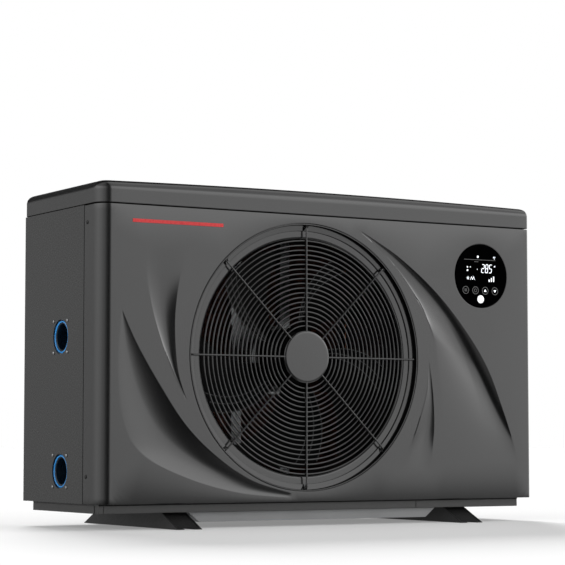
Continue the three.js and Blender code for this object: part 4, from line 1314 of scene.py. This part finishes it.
# Brightness of the studio all round, by bearing in degrees from the front towards the water side.
AROUND = [
    (-180, 0.45), (-145, 0.5), (-125, 0.5), (-108, 1.6), (-84, 3.0), (-64, 2.1), (-50, 1.94),
    (-38, 1.82), (-30, 1.66), (-20, 1.58), (-16, 1.1), (-11, 0.4), (-6, 0.14), (1, 0.09), (8, 0.13),
    (16, 0.23), (24, 0.42), (32, 0.72), (40, 0.9), (52, 1.05), (64, 1.35), (94, 1.57), (120, 1.2),
    (154, 0.6), (180, 0.45),
]
# The same by height, in degrees above the horizon.
UPWARDS = [
    (-90, 0.35), (-45, 0.42), (-30, 0.34), (-24, 0.24), (-18, 0.06), (-13, 0.12), (-9, 0.38),
    (-5, 0.7), (-2, 0.82), (0, 0.86),
    (4, 0.88), (8, 0.96), (14, 1.24), (24, 1.34), (31, 1.3), (38, 0.6), (50, 0.5), (70, 0.5), (90, 0.5),
]
FLAG_TOWARDS = (0.1, 0.75, 0.65)  # a dark flag hangs above and behind the unit
FLAG_EDGE, FLAG_CORE = 0.7, 0.86  # how squarely it is faced where its shade begins and where it is full
FLAG_SHADE = 0.12  # the share of light that is left in full shade


def wired(tree, kind, *inputs, **settings):
    """Adds a shader node. Each input is another node's output, a plain value, or None to leave it."""
    node = tree.nodes.new("ShaderNode" + kind)
    for setting, value in settings.items():
        setattr(node, setting, value)
    for place, value in enumerate(inputs):
        if isinstance(value, bpy.types.NodeSocket):
            tree.links.new(value, node.inputs[place])
        elif value is not None:
            node.inputs[place].default_value = value
    return node.outputs


def ramp_of(tree, angle, stops, low, high):
    """A brightness curve over an angle in radians, from stops in degrees."""
    span = wired(tree, "MapRange", angle, math.radians(low), math.radians(high))
    ramp = tree.nodes.new("ShaderNodeValToRGB")
    brightest = max(value for _, value in stops)
    fill_ramp(ramp, [((at - low) / (high - low), (value / brightest,) * 3) for at, value in stops])
    tree.links.new(span["Result"], ramp.inputs["Fac"])
    return wired(tree, "Math", ramp.outputs["Color"], brightest, operation="MULTIPLY")["Value"]


def world_light(scene):
    """A soft studio dome: bright to either side, darker straight ahead, below and overhead."""
    world = bpy.data.worlds.new("studio_dome")
    scene.world = world
    world.use_nodes = True
    tree = world.node_tree
    tree.nodes.clear()
    where = tree.nodes.new("ShaderNodeTexCoord").outputs["Generated"]
    split = wired(tree, "SeparateXYZ", where)
    flipped = [wired(tree, "Math", split[axis], -1, operation="MULTIPLY")["Value"] for axis in ("X", "Y")]
    bearing = wired(tree, "Math", *flipped, operation="ARCTAN2")["Value"]
    height = wired(tree, "Math", split["Z"], operation="ARCSINE")["Value"]
    around = ramp_of(tree, bearing, AROUND, -180, 180)
    upward = ramp_of(tree, height, UPWARDS, -90, 90)
    both = wired(tree, "Math", around, upward, operation="MULTIPLY")["Value"]
    towards = wired(tree, "VectorMath", where, FLAG_TOWARDS, operation="DOT_PRODUCT")["Value"]
    reach = (FLAG_EDGE, FLAG_CORE, 1.0, FLAG_SHADE)
    flag = wired(tree, "MapRange", towards, *reach, interpolation_type="SMOOTHSTEP")["Result"]
    shaded = wired(tree, "Math", both, flag, operation="MULTIPLY")["Value"]
    dome = wired(tree, "Background", None, shaded)["Background"]
    backdrop = wired(tree, "Background", (1, 1, 1, 1), 1.0)["Background"]
    seen = tree.nodes.new("ShaderNodeLightPath").outputs["Is Camera Ray"]
    wired(tree, "OutputWorld", wired(tree, "MixShader", seen, dome, backdrop)["Shader"])


studio()
front_panel()
accent_bar()
top_cover()
fan_guard()
bell_mouth()
fan()
fan_motor()
evaporator()
display()
left_side()
right_side()
rear_side()
base()
finish_carried_nodes()
